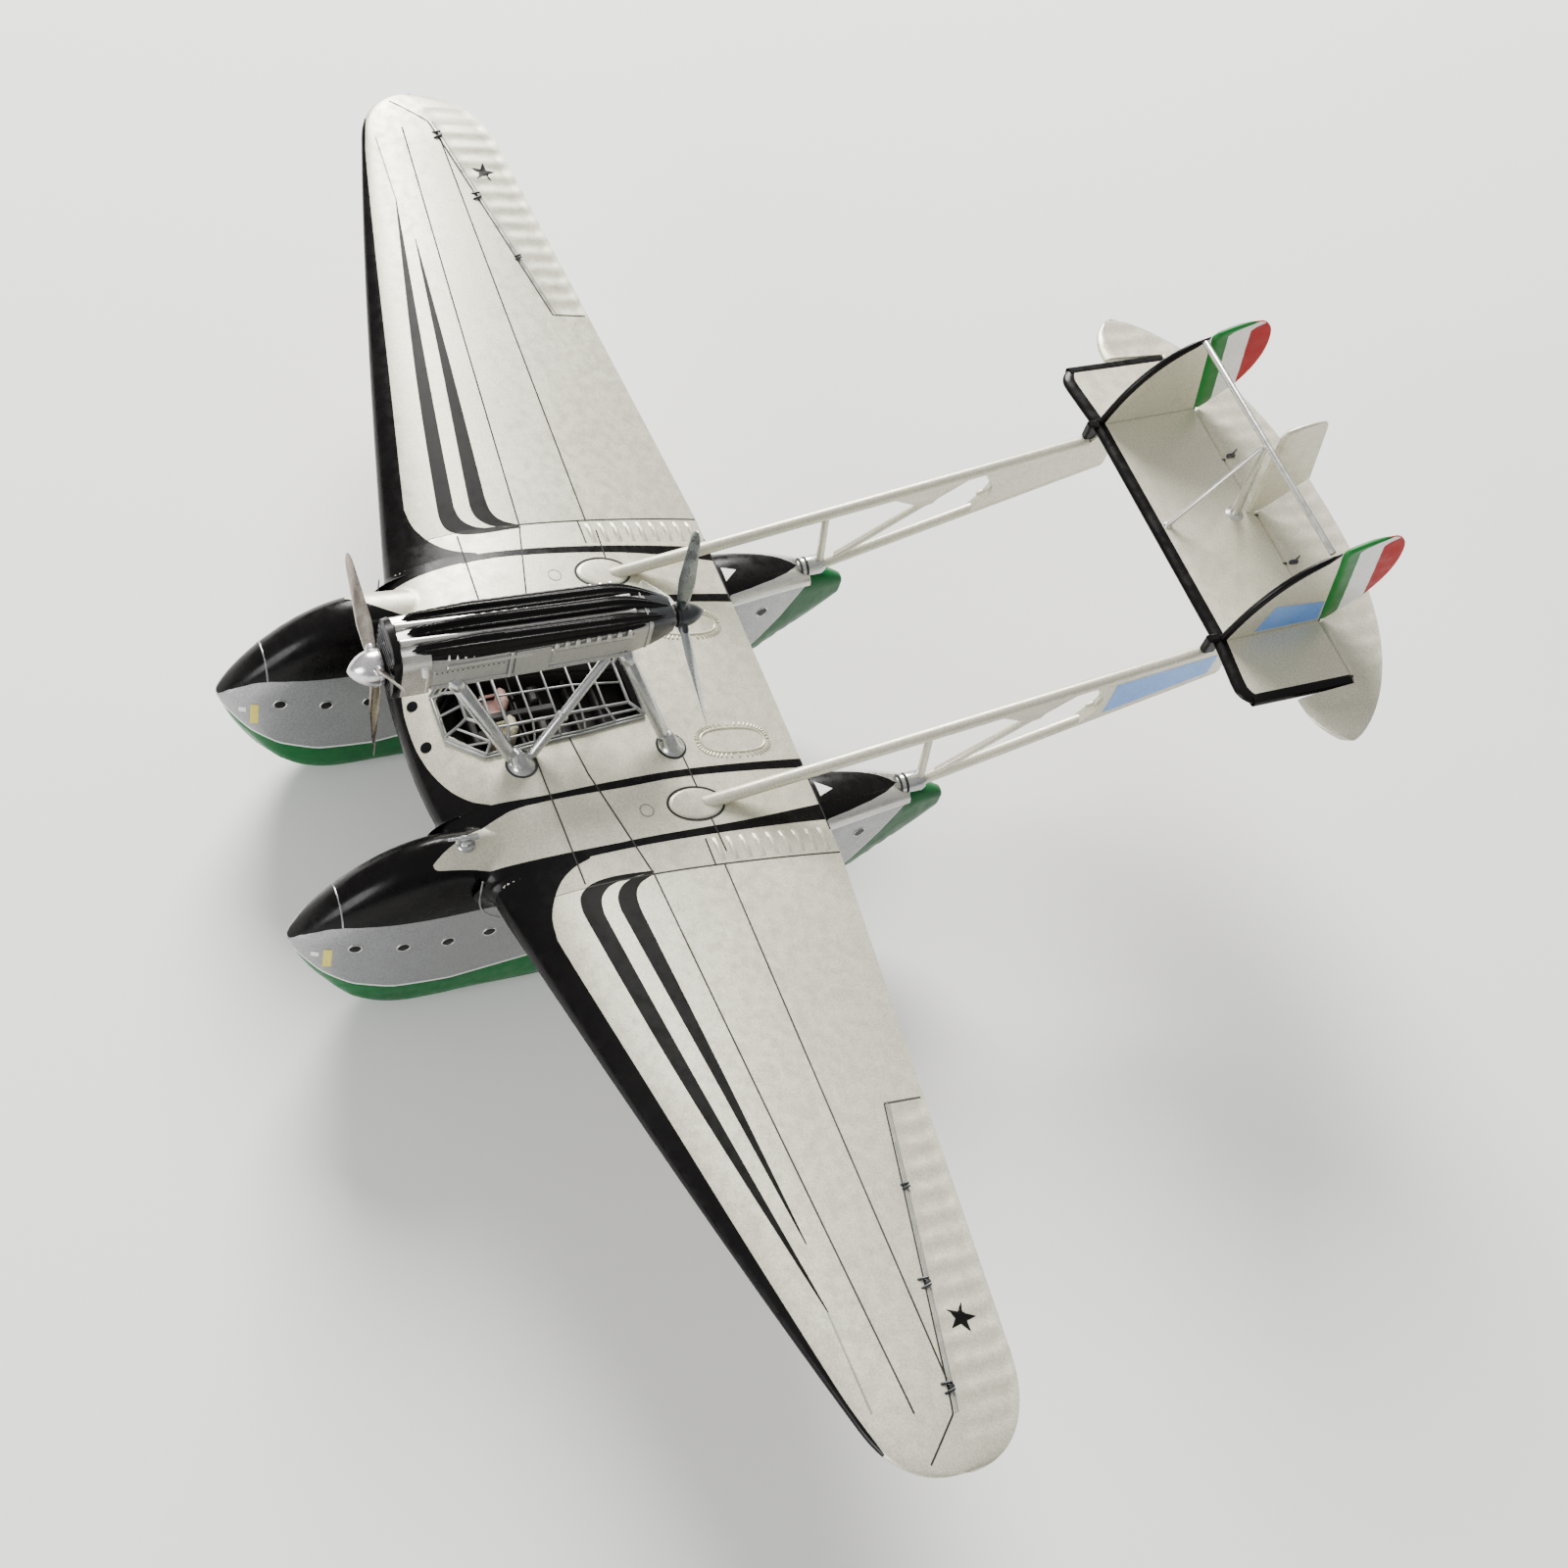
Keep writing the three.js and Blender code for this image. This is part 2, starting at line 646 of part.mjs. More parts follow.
// A leg runs from inside the wing skin to inside the crankcase, and both ends are cut to fit.
// The same two shapes, grown by a clearance, are cut out of the diagonal.
const tubeOf = ([x, y, z], top, grow = 0) =>
  rod([x, y, z - 0.6], top, strut.legRadius * 1.15 + grow, strut.legRadius * 0.85 + grow);
const flareOf = ([x, y, z], wide, grow = 0) => {
  const { below, above } = strut.flare;
  return rod([x, y, z - below], [x, y, z + above + grow], wide + grow, strut.legRadius + grow);
};
const leg = (foot, top, wide) =>
  cut(join(tubeOf(foot, top), flareOf(foot, wide)), wingClearance, crankcaseClearance);

addPair('front_leg', leg(strut.frontFoot, strut.frontTop, strut.flare.front), colour.silver);
addPair('rear_leg', leg(strut.rearFoot, strut.rearTop, strut.flare.rear), colour.silver);
const diagonal = cut(
  rod(strut.frontFoot, strut.diagonalTop, strut.diagonalRadius),
  wingClearance,
  crankcaseClearance,
  tubeOf(strut.frontFoot, strut.frontTop, 1.5 * SEAM),
  flareOf(strut.frontFoot, strut.flare.front, 1.5 * SEAM),
  tubeOf(strut.rearFoot, strut.rearTop, 1.5 * SEAM),
);
addPair('diagonal_strut', diagonal, colour.silver);

// ---------------------------------------------------------------- tail booms

const onBoom = ([y, z]) => [hull.x, y, z];
const upperBoom = rod(onBoom(boom.foot), onBoom(boom.upperEnd), boom.upperRadius);
const lowerBoom = rod(onBoom(boom.lowerStart), onBoom(boom.lowerEnd), boom.lowerRadius);
const hullClearance = loft(
  [...sternSteps.slice(1), hull.sternY + SEAM].map((y) =>
    hullRing(Math.min(y, hull.sternY)).map((point) => point.setY(y).setZ(point.z + SEAM)),
  ),
);
const upperClearance = rod(onBoom(boom.foot), onBoom(boom.upperEnd), boom.upperRadius + SEAM);
const lowerClearance = rod(onBoom(boom.lowerStart), onBoom(boom.lowerEnd), boom.lowerRadius + SEAM);
const tailClearance = box([5, tail.noseY - 0.3, tail.z - tail.half - SEAM], [25, 60, 60]);

addPair('upper_boom', cut(upperBoom, wingClearance, tailClearance), colour.silver);
addPair('lower_boom', cut(lowerBoom, hullClearance), colour.silver);

const post = rod(onBoom(boom.postFoot), onBoom(boom.postTop), boom.postRadius);
addPair('boom_post', cut(post, hullClearance, upperClearance, lowerClearance), colour.silver);
const brace = rod(onBoom(boom.braceStart), onBoom(boom.braceEnd), boom.braceRadius);
addPair('boom_brace', cut(brace, hullClearance, upperClearance, lowerClearance), colour.silver);

// Solid web between the booms, with a round notch at its front.
const lineThrough = ([y0, z0], [y1, z1]) => (y) => z0 + ((z1 - z0) * (y - y0)) / (y1 - y0);
const upperAt = lineThrough(boom.foot, boom.upperEnd);
const lowerAt = lineThrough(boom.lowerStart, boom.lowerEnd);
const webOutline = new THREE.Shape();
webOutline.moveTo(boom.webFront, upperAt(boom.webFront));
webOutline.lineTo(boom.upperEnd[0], tail.z - tail.half - SEAM);
webOutline.lineTo(boom.lowerEnd[0], tail.z - tail.half - SEAM);
webOutline.lineTo(boom.lowerEnd[0], lowerAt(boom.lowerEnd[0]));
webOutline.lineTo(boom.webFront, lowerAt(boom.webFront));
webOutline.quadraticCurveTo(
  boom.webFront + 2.2,
  (upperAt(boom.webFront) + lowerAt(boom.webFront)) / 2,
  boom.webFront,
  upperAt(boom.webFront),
);
const web = plate(webOutline, 'side', hull.x, boom.webHalf);
addPair('boom_web', cut(web, upperClearance, lowerClearance), colour.silver);

// ---------------------------------------------------------------- tail

function tailplaneOutline() {
  const shape = new THREE.Shape();
  const { stubX, noseY, hingeY } = tail;
  shape.moveTo(-stubX, hingeY);
  shape.lineTo(-stubX, noseY + 1);
  shape.quadraticCurveTo(-stubX, noseY - 0.6, -stubX + 2.4, noseY - 1.1);
  shape.lineTo(-tail.finX, noseY - 0.4);
  shape.lineTo(tail.finX, noseY - 0.4);
  shape.lineTo(stubX - 2.4, noseY - 1.1);
  shape.quadraticCurveTo(stubX, noseY - 0.6, stubX, noseY + 1);
  shape.lineTo(stubX, hingeY);
  return shape;
}
addPart('tailplane', plate(tailplaneOutline(), 'plan', tail.z, tail.half), colour.silver);

// The elevator has a curved trailing edge and a horn round each tailplane tip.
function elevatorOutline() {
  const { horn, tipX, tipY, elevatorY, hingeY, stubX } = tail;
  const inner = stubX + 3 * SEAM;
  const shape = new THREE.Shape();
  shape.moveTo(-inner, hingeY + SEAM);
  shape.lineTo(-inner, horn.y);
  shape.quadraticCurveTo(-horn.x, horn.y, -tipX + 0.5, tipY - 1);
  shape.quadraticCurveTo(-tipX - 1, tipY + 3.5, -25, 52.2);
  shape.quadraticCurveTo(-17, elevatorY - 2.6, -5, elevatorY);
  shape.lineTo(5, elevatorY);
  shape.quadraticCurveTo(17, elevatorY - 2.6, 25, 52.2);
  shape.quadraticCurveTo(tipX + 1, tipY + 3.5, tipX - 0.5, tipY - 1);
  shape.quadraticCurveTo(horn.x, horn.y, inner, horn.y);
  shape.lineTo(inner, hingeY + SEAM);
  return shape;
}
addPart('elevator', plate(elevatorOutline(), 'plan', tail.z, tail.elevatorHalf), colour.silver);

const finFoot = tail.z + tail.half + SEAM;
const finOutline = new THREE.Shape();
finOutline.moveTo(tail.noseY + 0.4, finFoot);
finOutline.quadraticCurveTo(40, 46.6, 47.1, 49);
finOutline.lineTo(tail.hingeY - SEAM, finFoot);
addPair('fin', plate(finOutline, 'side', tail.finX, tail.finHalf), colour.silver);

const rudderOutline = new THREE.Shape();
rudderOutline.moveTo(tail.hingeY + SEAM, finFoot);
rudderOutline.lineTo(47.25, 49.1);
rudderOutline.quadraticCurveTo(50.5, 50.4, 52.4, 50.6);
rudderOutline.quadraticCurveTo(54.6, 50.8, 55.2, 47.6);
rudderOutline.quadraticCurveTo(55.9, 44, 53.8, 40.7);
addPair('rudder', plate(rudderOutline, 'side', tail.finX, tail.rudderHalf), colour.silver);

const centreOutline = new THREE.Shape();
centreOutline.moveTo(50.6, finFoot);
centreOutline.lineTo(48.9, finFoot);
centreOutline.lineTo(47.1, 50);
centreOutline.quadraticCurveTo(47, 50.8, 47.8, 50.9);
centreOutline.lineTo(51.3, 51.4);
centreOutline.quadraticCurveTo(52.5, 51.5, 52.9, 50);
centreOutline.lineTo(55.2, 42);
addPart('centre_rudder', plate(centreOutline, 'side', 0, tail.rudderHalf), colour.silver);

const barReach = tail.finX - tail.finHalf - SEAM;
const { barY, barZ, barRadius } = tail;
addPart('rudder_top_bar', rod([-barReach, barY, barZ], [barReach, barY, barZ], barRadius), colour.silver);

const underBar = barZ - barRadius - SEAM - 0.12;
addPart('rudder_post', rod([0, 47.4, finFoot], [0, barY, underBar], 0.5, 0.28), colour.silver);
addPart('tail_brace', rod([0, 38.9, finFoot], [0, barY - 0.62, barZ - 0.4], 0.28), colour.silver);

export default model;
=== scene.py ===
"""Looks of a display model of a twin-hull flying boat with two propellers in tandem.

Lengths are in millimetres until a mesh is made. +X is port, the noses point to -Y and +Z is up.
"""

import math

import bmesh
import bpy
from mathutils import Matrix, Vector


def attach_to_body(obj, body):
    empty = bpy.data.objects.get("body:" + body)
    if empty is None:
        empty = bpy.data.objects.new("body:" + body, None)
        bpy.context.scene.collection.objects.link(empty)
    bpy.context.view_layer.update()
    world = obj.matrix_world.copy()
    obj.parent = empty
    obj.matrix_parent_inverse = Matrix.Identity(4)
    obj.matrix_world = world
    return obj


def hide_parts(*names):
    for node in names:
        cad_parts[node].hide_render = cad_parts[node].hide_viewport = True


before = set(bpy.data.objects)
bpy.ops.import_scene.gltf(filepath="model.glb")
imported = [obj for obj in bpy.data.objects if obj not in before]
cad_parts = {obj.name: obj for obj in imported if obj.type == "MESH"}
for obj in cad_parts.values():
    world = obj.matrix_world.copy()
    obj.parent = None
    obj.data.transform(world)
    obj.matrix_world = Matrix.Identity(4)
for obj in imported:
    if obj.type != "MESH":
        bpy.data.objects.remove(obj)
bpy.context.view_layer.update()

MM = 0.001
TURN = 2 * math.pi
UP = Vector((0, 0, 1))
SIDES = {"port": 1, "starboard": -1}

# ---------------------------------------------------------------- driving dimensions

HALF_SPAN = 84.6
JOINT_X = 22.0
KINK_X = 19.0
TIP_Y = -19.7
ROOT_TAIL_Y = -4.6
DIHEDRAL = 0.11
CROWN = (0.103, 0.065)
BELLY = (0.068, 0.04)

HULL_X = 14.7
NOSE_Y = -59.0
NOSE_Z = 15.5
BOW_END_Y = -44.0
STERN_Y = 11.0
STEP_Y = -14.0
HALF_BEAM = 3.75
BOW_SEAM_Y = -54.3
HATCH_CENTRE = (7.6, -11.5)
BOOM_FOOT = (14.8, -18.4)

THRUST_Z = 36.35
FRONT_PROPELLER_Y = -47.7
REAR_PROPELLER_Y = -17.0
PROPELLER_RADIUS = 11.5

TAIL_Z = 37.0
HINGE_Y = 49.8
STUB_X = 23.4
FIN_X = 15.1

PAINT_LIFT = 0.02
LINE_WIDTH = 0.16

# ---------------------------------------------------------------- materials


def mix_colour(tree, factor, dark, light):
    """A mix of two colours by a factor socket."""
    mix = tree.nodes.new("ShaderNodeMix")
    mix.data_type = "RGBA"
    tree.links.new(factor, mix.inputs["Factor"])
    mix.inputs["A"].default_value = (*dark, 1)
    mix.inputs["B"].default_value = (*light, 1)
    return mix.outputs["Result"]


def noise(tree, coordinates, scale, detail=3.0):
    texture = tree.nodes.new("ShaderNodeTexNoise")
    texture.inputs["Scale"].default_value = scale
    texture.inputs["Detail"].default_value = detail
    tree.links.new(coordinates, texture.inputs["Vector"])
    return texture.outputs["Fac"]


def spread(tree, value, low, high, start=0.35, end=0.65):
    """Maps a noise value to the range from low to high."""
    ramp = tree.nodes.new("ShaderNodeMapRange")
    ramp.inputs["From Min"].default_value = start
    ramp.inputs["From Max"].default_value = end
    ramp.inputs["To Min"].default_value = low
    ramp.inputs["To Max"].default_value = high
    tree.links.new(value, ramp.inputs["Value"])
    return ramp.outputs["Result"]


def paint(
    name, dark, light, metallic, roughness, grain=0.04, bump=0.15, coat=0.0, patch=70.0, corner_shade=0.0,
    shine=0.5,
):
    """Sprayed paint: cloudy colour, fine metallic grain, and painted shade that darkens the corners by
    ambient occlusion where the corner weight is set.
    """
    material = bpy.data.materials.new(name)
    material.use_nodes = True
    tree = material.node_tree
    shader = tree.nodes["Principled BSDF"]
    place = tree.nodes.new("ShaderNodeTexCoord").outputs["Object"]
    clouds = spread(tree, noise(tree, place, patch, 4.0), 0, 1)
    colour = mix_colour(tree, clouds, dark, light)
    fine = noise(tree, place, 5200.0, 2.0)
    speckle = spread(tree, fine, 1 - 4 * grain, 1 + grain)
    scale = tree.nodes.new("ShaderNodeVectorMath")
    scale.operation = "SCALE"
    tree.links.new(colour, scale.inputs[0])
    tree.links.new(speckle, scale.inputs["Scale"])
    result = scale.outputs["Vector"]
    if corner_shade > 0:
        # Painted shade: ambient occlusion darkens the colour in corners and crevices.
        corner = tree.nodes.new("ShaderNodeAmbientOcclusion")
        corner.inputs["Distance"].default_value = 0.0009
        corner.samples = 8
        shade = spread(tree, corner.outputs["AO"], 1 - corner_shade, 1.0, 0.25, 0.85)
        shaded_colour = tree.nodes.new("ShaderNodeVectorMath")
        shaded_colour.operation = "SCALE"
        tree.links.new(result, shaded_colour.inputs[0])
        tree.links.new(shade, shaded_colour.inputs["Scale"])
        result = shaded_colour.outputs["Vector"]
    tree.links.new(result, shader.inputs["Base Color"])
    rough = spread(tree, noise(tree, place, 900.0, 3.0), roughness - 0.06, roughness + 0.08)
    tree.links.new(rough, shader.inputs["Roughness"])
    shader.inputs["Metallic"].default_value = metallic
    shader.inputs["Specular IOR Level"].default_value = shine
    shader.inputs["Coat Weight"].default_value = coat
    shader.inputs["Coat Roughness"].default_value = 0.08
    relief = tree.nodes.new("ShaderNodeBump")
    relief.inputs["Strength"].default_value = bump
    relief.inputs["Distance"].default_value = 0.00003
    tree.links.new(fine, relief.inputs["Height"])
    tree.links.new(relief.outputs["Normal"], shader.inputs["Normal"])
    return material


SILVER = paint(
    "silver_paint", (0.63, 0.61, 0.48), (0.67, 0.65, 0.52), 0.42, 0.38, grain=0.05, bump=0.08,
)
HULL_SILVER = paint(
    "hull_silver", (0.30, 0.305, 0.31), (0.35, 0.355, 0.36), 0.75, 0.34, grain=0.06, bump=0.1,
)
BRIGHT_SILVER = paint(
    "bright_silver", (0.60, 0.595, 0.56), (0.66, 0.655, 0.62), 0.9, 0.3, grain=0.02, bump=0.02,
)
WHITE = paint("white_paint", (0.78, 0.78, 0.75), (0.86, 0.86, 0.83), 0.0, 0.4)
BLACK = paint(
    "gloss_black", (0.0025, 0.002, 0.002), (0.005, 0.0045, 0.0045), 0.0, 0.26, coat=0.05, shine=0.12,
)
STRIPE = paint(
    "stripe_black", (0.003, 0.003, 0.003), (0.008, 0.008, 0.007), 0.0, 0.36, bump=0.1, shine=0.1,
)
SEAM = paint("seam_wash", (0.02, 0.02, 0.018), (0.06, 0.06, 0.055), 0.0, 0.6, shine=0.1)
FAINT_SEAM = paint("faint_seam", (0.24, 0.24, 0.22), (0.34, 0.34, 0.31), 0.3, 0.5)
GREEN = paint("green_paint", (0.0, 0.085, 0.018), (0.001, 0.12, 0.027), 0.0, 0.36, shine=0.12)
FLAG_GREEN = paint("rudder_green", (0.006, 0.14, 0.02), (0.012, 0.19, 0.035), 0.0, 0.4, shine=0.25)
RED = paint("rudder_red", (0.34, 0.004, 0.004), (0.43, 0.007, 0.007), 0.0, 0.4, shine=0.1)
BLUE = paint("azure_panel", (0.12, 0.30, 0.72), (0.26, 0.46, 0.84), 0.0, 0.45)
YELLOW = paint("yellow_paint", (0.60, 0.48, 0.05), (0.74, 0.62, 0.12), 0.0, 0.45)
# engine_silver, tank_silver, gunmetal and cabin_paint get painted shade in their corners.
ENGINE = paint(
    "engine_silver", (0.42, 0.42, 0.41), (0.52, 0.52, 0.50), 0.75, 0.38, grain=0.04, bump=0.06,
    corner_shade=0.75,
)
STRUT = paint("strut_metal", (0.46, 0.47, 0.465), (0.54, 0.55, 0.54), 0.9, 0.24, grain=0.02, bump=0.03)
LATTICE = paint(
    "lattice_metal", (0.20, 0.205, 0.20), (0.28, 0.285, 0.275), 0.7, 0.4, grain=0.02, bump=0.03,
)
TANK = paint("tank_silver", (0.42, 0.39, 0.34), (0.54, 0.51, 0.45), 0.5, 0.4, grain=0.08, corner_shade=0.5)
GUNMETAL = paint("gunmetal", (0.05, 0.053, 0.058), (0.11, 0.113, 0.12), 0.75, 0.35, corner_shade=0.4)
BRONZE = paint("blade_bronze", (0.26, 0.22, 0.18), (0.46, 0.41, 0.36), 0.9, 0.26, patch=160.0)
BLADE = paint("blade_silver", (0.34, 0.37, 0.36), (0.52, 0.56, 0.54), 0.9, 0.26, patch=160.0)
STEEL = paint("spinner_silver", (0.62, 0.60, 0.61), (0.76, 0.74, 0.75), 0.85, 0.22, patch=200.0)
CABIN = paint("cabin_paint", (0.010, 0.009, 0.008), (0.035, 0.031, 0.028), 0.1, 0.6, corner_shade=0.5)
PINK_SEAT = paint("pink_seat", (0.62, 0.36, 0.32), (0.74, 0.46, 0.40), 0.0, 0.75, bump=0.5)
CREAM_SEAT = paint("cream_seat", (0.58, 0.52, 0.34), (0.70, 0.64, 0.45), 0.0, 0.75, bump=0.5)
GLASS = paint(
    "port_glass", (0.002, 0.002, 0.0025), (0.005, 0.005, 0.006), 0.0, 0.3, coat=0.05, shine=0.1,
)

# ---------------------------------------------------------------- mesh tools


class Skin:
    """Points and faces of one piece, with a look number for each face."""

    def __init__(self):
        self.points = []
        self.faces = []
        self.looks = []

    def face(self, corners, look=0):
        self.faces.append(tuple(corners))
        self.looks.append(look)

    def grid(self, rows, look=0, closed=False, toward=None):
        """Faces between rows of equal length. look is a number or a function of row and place."""
        start = len(self.points)
        width = len(rows[0])
        for row in rows:
            self.points.extend(Vector(point) for point in row)
        faces = []
        for i in range(len(rows) - 1):
            for j in range(width if closed else width - 1):
                a = start + i * width + j
                b = start + i * width + (j + 1) % width
                number = look(i, j) if callable(look) else look
                faces.append(((a, b, b + width, a + width), number))
        if toward is not None and self.leaning(faces, toward) < 0:
            faces = [(corners[::-1], number) for corners, number in faces]
        for corners, number in faces:
            self.face(corners, number)

    def leaning(self, faces, toward):
        total = 0.0
        for (a, b, c, d), _ in faces:
            first = self.points[c] - self.points[a]
            total += first.cross(self.points[d] - self.points[b]).dot(toward)
        return total

    def loft(self, rings, look=0):
        """A closed skin through rings of equal length."""
        start = len(self.points)
        width = len(rings[0])
        self.grid(rings, look, closed=True)
        last = start + (len(rings) - 1) * width
        first_look = look(0, 0) if callable(look) else look
        last_look = look(len(rings) - 2, 0) if callable(look) else look
        self.face([start + j for j in range(width)], first_look)
        self.face([last + width - 1 - j for j in range(width)], last_look)

    def make(self, name, looks, slot, replaces=(), body="airframe", solid=True, sharp=35):
        mesh = bpy.data.meshes.new(name)
        mesh.from_pydata([tuple(point * MM) for point in self.points], [], self.faces)
        for material in looks:
            mesh.materials.append(material)
        for polygon, look in zip(mesh.polygons, self.looks):
            polygon.material_index = look
            polygon.use_smooth = True
        shape = bmesh.new()
        shape.from_mesh(mesh)
        bmesh.ops.remove_doubles(shape, verts=shape.verts, dist=1e-6)
        if solid:
            bmesh.ops.recalc_face_normals(shape, faces=shape.faces)
        shape.to_mesh(mesh)
        shape.free()
        mesh.set_sharp_from_angle(angle=math.radians(sharp))
        piece = bpy.data.objects.new(name, mesh)
        bpy.context.scene.collection.objects.link(piece)
        return attach(piece, replaces, body)


def attach(piece, replaces=(), body="airframe"):
    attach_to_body(piece, body)
    if replaces:
        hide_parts(*replaces)
    return piece


def flow(points, count):
    """count points, evenly spaced, on a smooth curve through the given points."""
    nodes = [Vector(point) for point in points]
    fine = []
    for k in range(len(nodes) - 1):
        before = nodes[max(k - 1, 0)]
        after = nodes[min(k + 2, len(nodes) - 1)]
        for step in range(24):
            t = step / 24
            pull = (nodes[k + 1] - before) * 0.5
            push = (after - nodes[k]) * 0.5
            a = (2 * t**3 - 3 * t**2 + 1) * nodes[k]
            b = (t**3 - 2 * t**2 + t) * pull
            c = (3 * t**2 - 2 * t**3) * nodes[k + 1]
            d = (t**3 - t**2) * push
            fine.append(a + b + c + d)
    fine.append(nodes[-1])
    return even(fine, count)


def even(line, count):
    """count points evenly spaced along a polyline."""
    travel = [0.0]
    for a, b in zip(line, line[1:]):
        travel.append(travel[-1] + (b - a).length)
    result = []
    k = 0
    for step in range(count):
        goal = travel[-1] * step / (count - 1)
        while k < len(line) - 2 and travel[k + 1] < goal:
            k += 1
        part = (goal - travel[k]) / max(travel[k + 1] - travel[k], 1e-9)
        result.append(line[k].lerp(line[k + 1], min(1.0, part)))
    return result


def across(axis):
    """Two directions at right angles to an axis."""
    axis = Vector(axis).normalized()
    first = axis.cross(UP if abs(axis.z) < 0.9 else Vector((1, 0, 0))).normalized()
    return first, first.cross(axis)


def rod(skin, start, end, radius, end_radius=None, sides=16, look=0):
    """A round bar with slightly rounded ends."""
    start, end = Vector(start), Vector(end)
    end_radius = radius if end_radius is None else end_radius
    axis = end - start
    rings = [(0, 0.72), (0.12 * radius / axis.length, 0.93), (0.35 * radius / axis.length, 1)]
    rings += [(1 - part, scale) for part, scale in reversed(rings)]
    first, second = across(axis)
    loops = []
    for part, scale in rings:
        middle = start + axis * part
        size = (radius + (end_radius - radius) * part) * scale
        loops.append([middle + ring_offset(first, second, size, k / sides) for k in range(sides)])
    skin.loft(loops, look)


def ring_offset(first, second, radius, part):
    return (first * math.cos(TURN * part) + second * math.sin(TURN * part)) * radius


def lathe(skin, origin, axis, profile, sides=24, look=0):
    """A turned shape. The profile holds radius and height pairs along the axis."""
    origin, axis = Vector(origin), Vector(axis).normalized()
    first, second = across(axis)
    rings = []
    for radius, height in profile:
        middle = origin + axis * height
        wide = max(radius, 1e-3)
        rings.append([middle + ring_offset(first, second, wide, k / sides) for k in range(sides)])
    skin.loft(rings, look)


def dome(skin, centre, normal, radius, look=0, sides=8):
    profile = [
        (radius, -0.4 * radius), (radius, 0), (0.75 * radius, 0.45 * radius), (0.01, 0.62 * radius),
    ]
    lathe(skin, centre, normal, profile, sides, look)


def block(skin, low, high, bevel, look=0):
    """A box with bevelled edges."""
    low, high = Vector(low), Vector(high)
    shape = bmesh.new()
    for corner in range(8):
        inner = [corner >> k & 1 for k in range(3)]
        for axis in range(3):
            point = [high[k] - bevel if inner[k] else low[k] + bevel for k in range(3)]
            point[axis] = high[axis] if inner[axis] else low[axis]
            shape.verts.new(point)
    bmesh.ops.convex_hull(shape, input=shape.verts)
    start = len(skin.points)
    shape.verts.index_update()
    skin.points.extend(vertex.co.copy() for vertex in shape.verts)
    for polygon in shape.faces:
        skin.face([start + vertex.index for vertex in polygon.verts], look)
    shape.free()


def closed_ring(skin, centre_line, radius, look=0, sides=8):
    """A round bead along a closed line."""
    count = len(centre_line)
    rings = []
    for k in range(count + 1):
        here = centre_line[k % count]
        ahead = centre_line[(k + 1) % count] - centre_line[k - 1]
        side = ahead.cross(UP).normalized()
        rings.append([here + ring_offset(side, UP, radius, j / sides) for j in range(sides)])
    skin.grid(rings, look, closed=True)


# ---------------------------------------------------------------- wing surface


def clamp(value, low=0.0, high=1.0):
    return min(high, max(low, value))


def round_off(reach, power):
    return (1 - clamp(reach) ** power) ** (1 / power)


def nose_line(x):
    x = abs(x)
    if x < KINK_X:
        return -44.2 + 3.6 * (x / KINK_X) ** 2.5
    reach = (x - KINK_X) / (HALF_SPAN - KINK_X)
    line = -40.6 + 13.3 * reach + 1.4 * reach**3
    return TIP_Y + (line - TIP_Y) * round_off((x - 78) / (HALF_SPAN - 78), 2.8)


def tail_line(x):
    x = abs(x)
    line = ROOT_TAIL_Y - 0.05 * min(x, JOINT_X) / JOINT_X - 0.128 * max(0, x - JOINT_X)
    return TIP_Y + (line - TIP_Y) * round_off((x - 75.5) / (HALF_SPAN - 75.5), 2.4)


def swell(t):
    return 10 * (0.2969 * math.sqrt(t) - 0.126 * t - 0.3516 * t**2 + 0.2843 * t**3 - 0.1036 * t**4)


AILERON_ROOT_X = 50.5
AILERON_TIP_X = 79.7
RIB_PITCH = 2.3


def aileron_hinge(x):
    """y of the aileron's hinge line."""
    return -12.7 - 0.226 * (abs(x) - AILERON_ROOT_X)


def fabric_sag(x, y):
    """How far the cloth dips between two aileron ribs."""
    x = abs(x)
    if not AILERON_ROOT_X < x < AILERON_TIP_X + 2:
        return 0.0
    into = clamp((y - aileron_hinge(x) - 0.3) / 0.8)
    out = clamp((tail_line(x) - y) / 1.0)
    wave = math.sin(math.pi * (x - AILERON_ROOT_X) / RIB_PITCH) ** 2
    return 0.16 * into * out * wave**0.7


def wing_point(x, turn):
    """A point on the skin. turn is 0 at the nose, pi at the tail above and -pi below."""
    station = abs(x)
    nose, end = nose_line(station), tail_line(station)
    chord = end - nose
    t = (1 - math.cos(turn)) / 2
    y = nose + chord * t
    reach = max(0, station - JOINT_X) / (HALF_SPAN - JOINT_X)
    root, tip = CROWN if turn >= 0 else BELLY
    height = chord * (root + (tip - root) * reach) * swell(t) + 0.14 * t
    line = 22.6 - 0.7 * t + DIHEDRAL * max(0, station - JOINT_X)
    if turn >= 0:
        return Vector((x, y, line + height - fabric_sag(x, y)))
    return Vector((x, y, line - height))


def wing_normal(x, turn):
    x = math.copysign(min(abs(x), HALF_SPAN - 0.3), x)
    turn = clamp(turn, -math.pi + 0.02, math.pi - 0.02)
    along = wing_point(x + 0.05, turn) - wing_point(x - 0.05, turn)
    around = wing_point(x, turn + 0.01) - wing_point(x, turn - 0.01)
    return along.cross(around).normalized()


def turn_at(x, y):
    nose, end = nose_line(x), tail_line(x)
    return math.acos(1 - 2 * clamp((y - nose) / (end - nose)))


def on_wing(x, turn, lift):
    return wing_point(x, turn) + wing_normal(x, turn) * lift


# ---------------------------------------------------------------- hull surface


def hull_deck(y):
    if y < BOW_END_Y:
        return NOSE_Z + 10.7 * (1 - ((BOW_END_Y - y) / 15) ** 2)
    if y < ROOT_TAIL_Y:
        return 26.2 - 4.3 * (y - BOW_END_Y) / (ROOT_TAIL_Y - BOW_END_Y)
    return 21.9 - 4.2 * ((y - ROOT_TAIL_Y) / (STERN_Y - ROOT_TAIL_Y)) ** 2.5


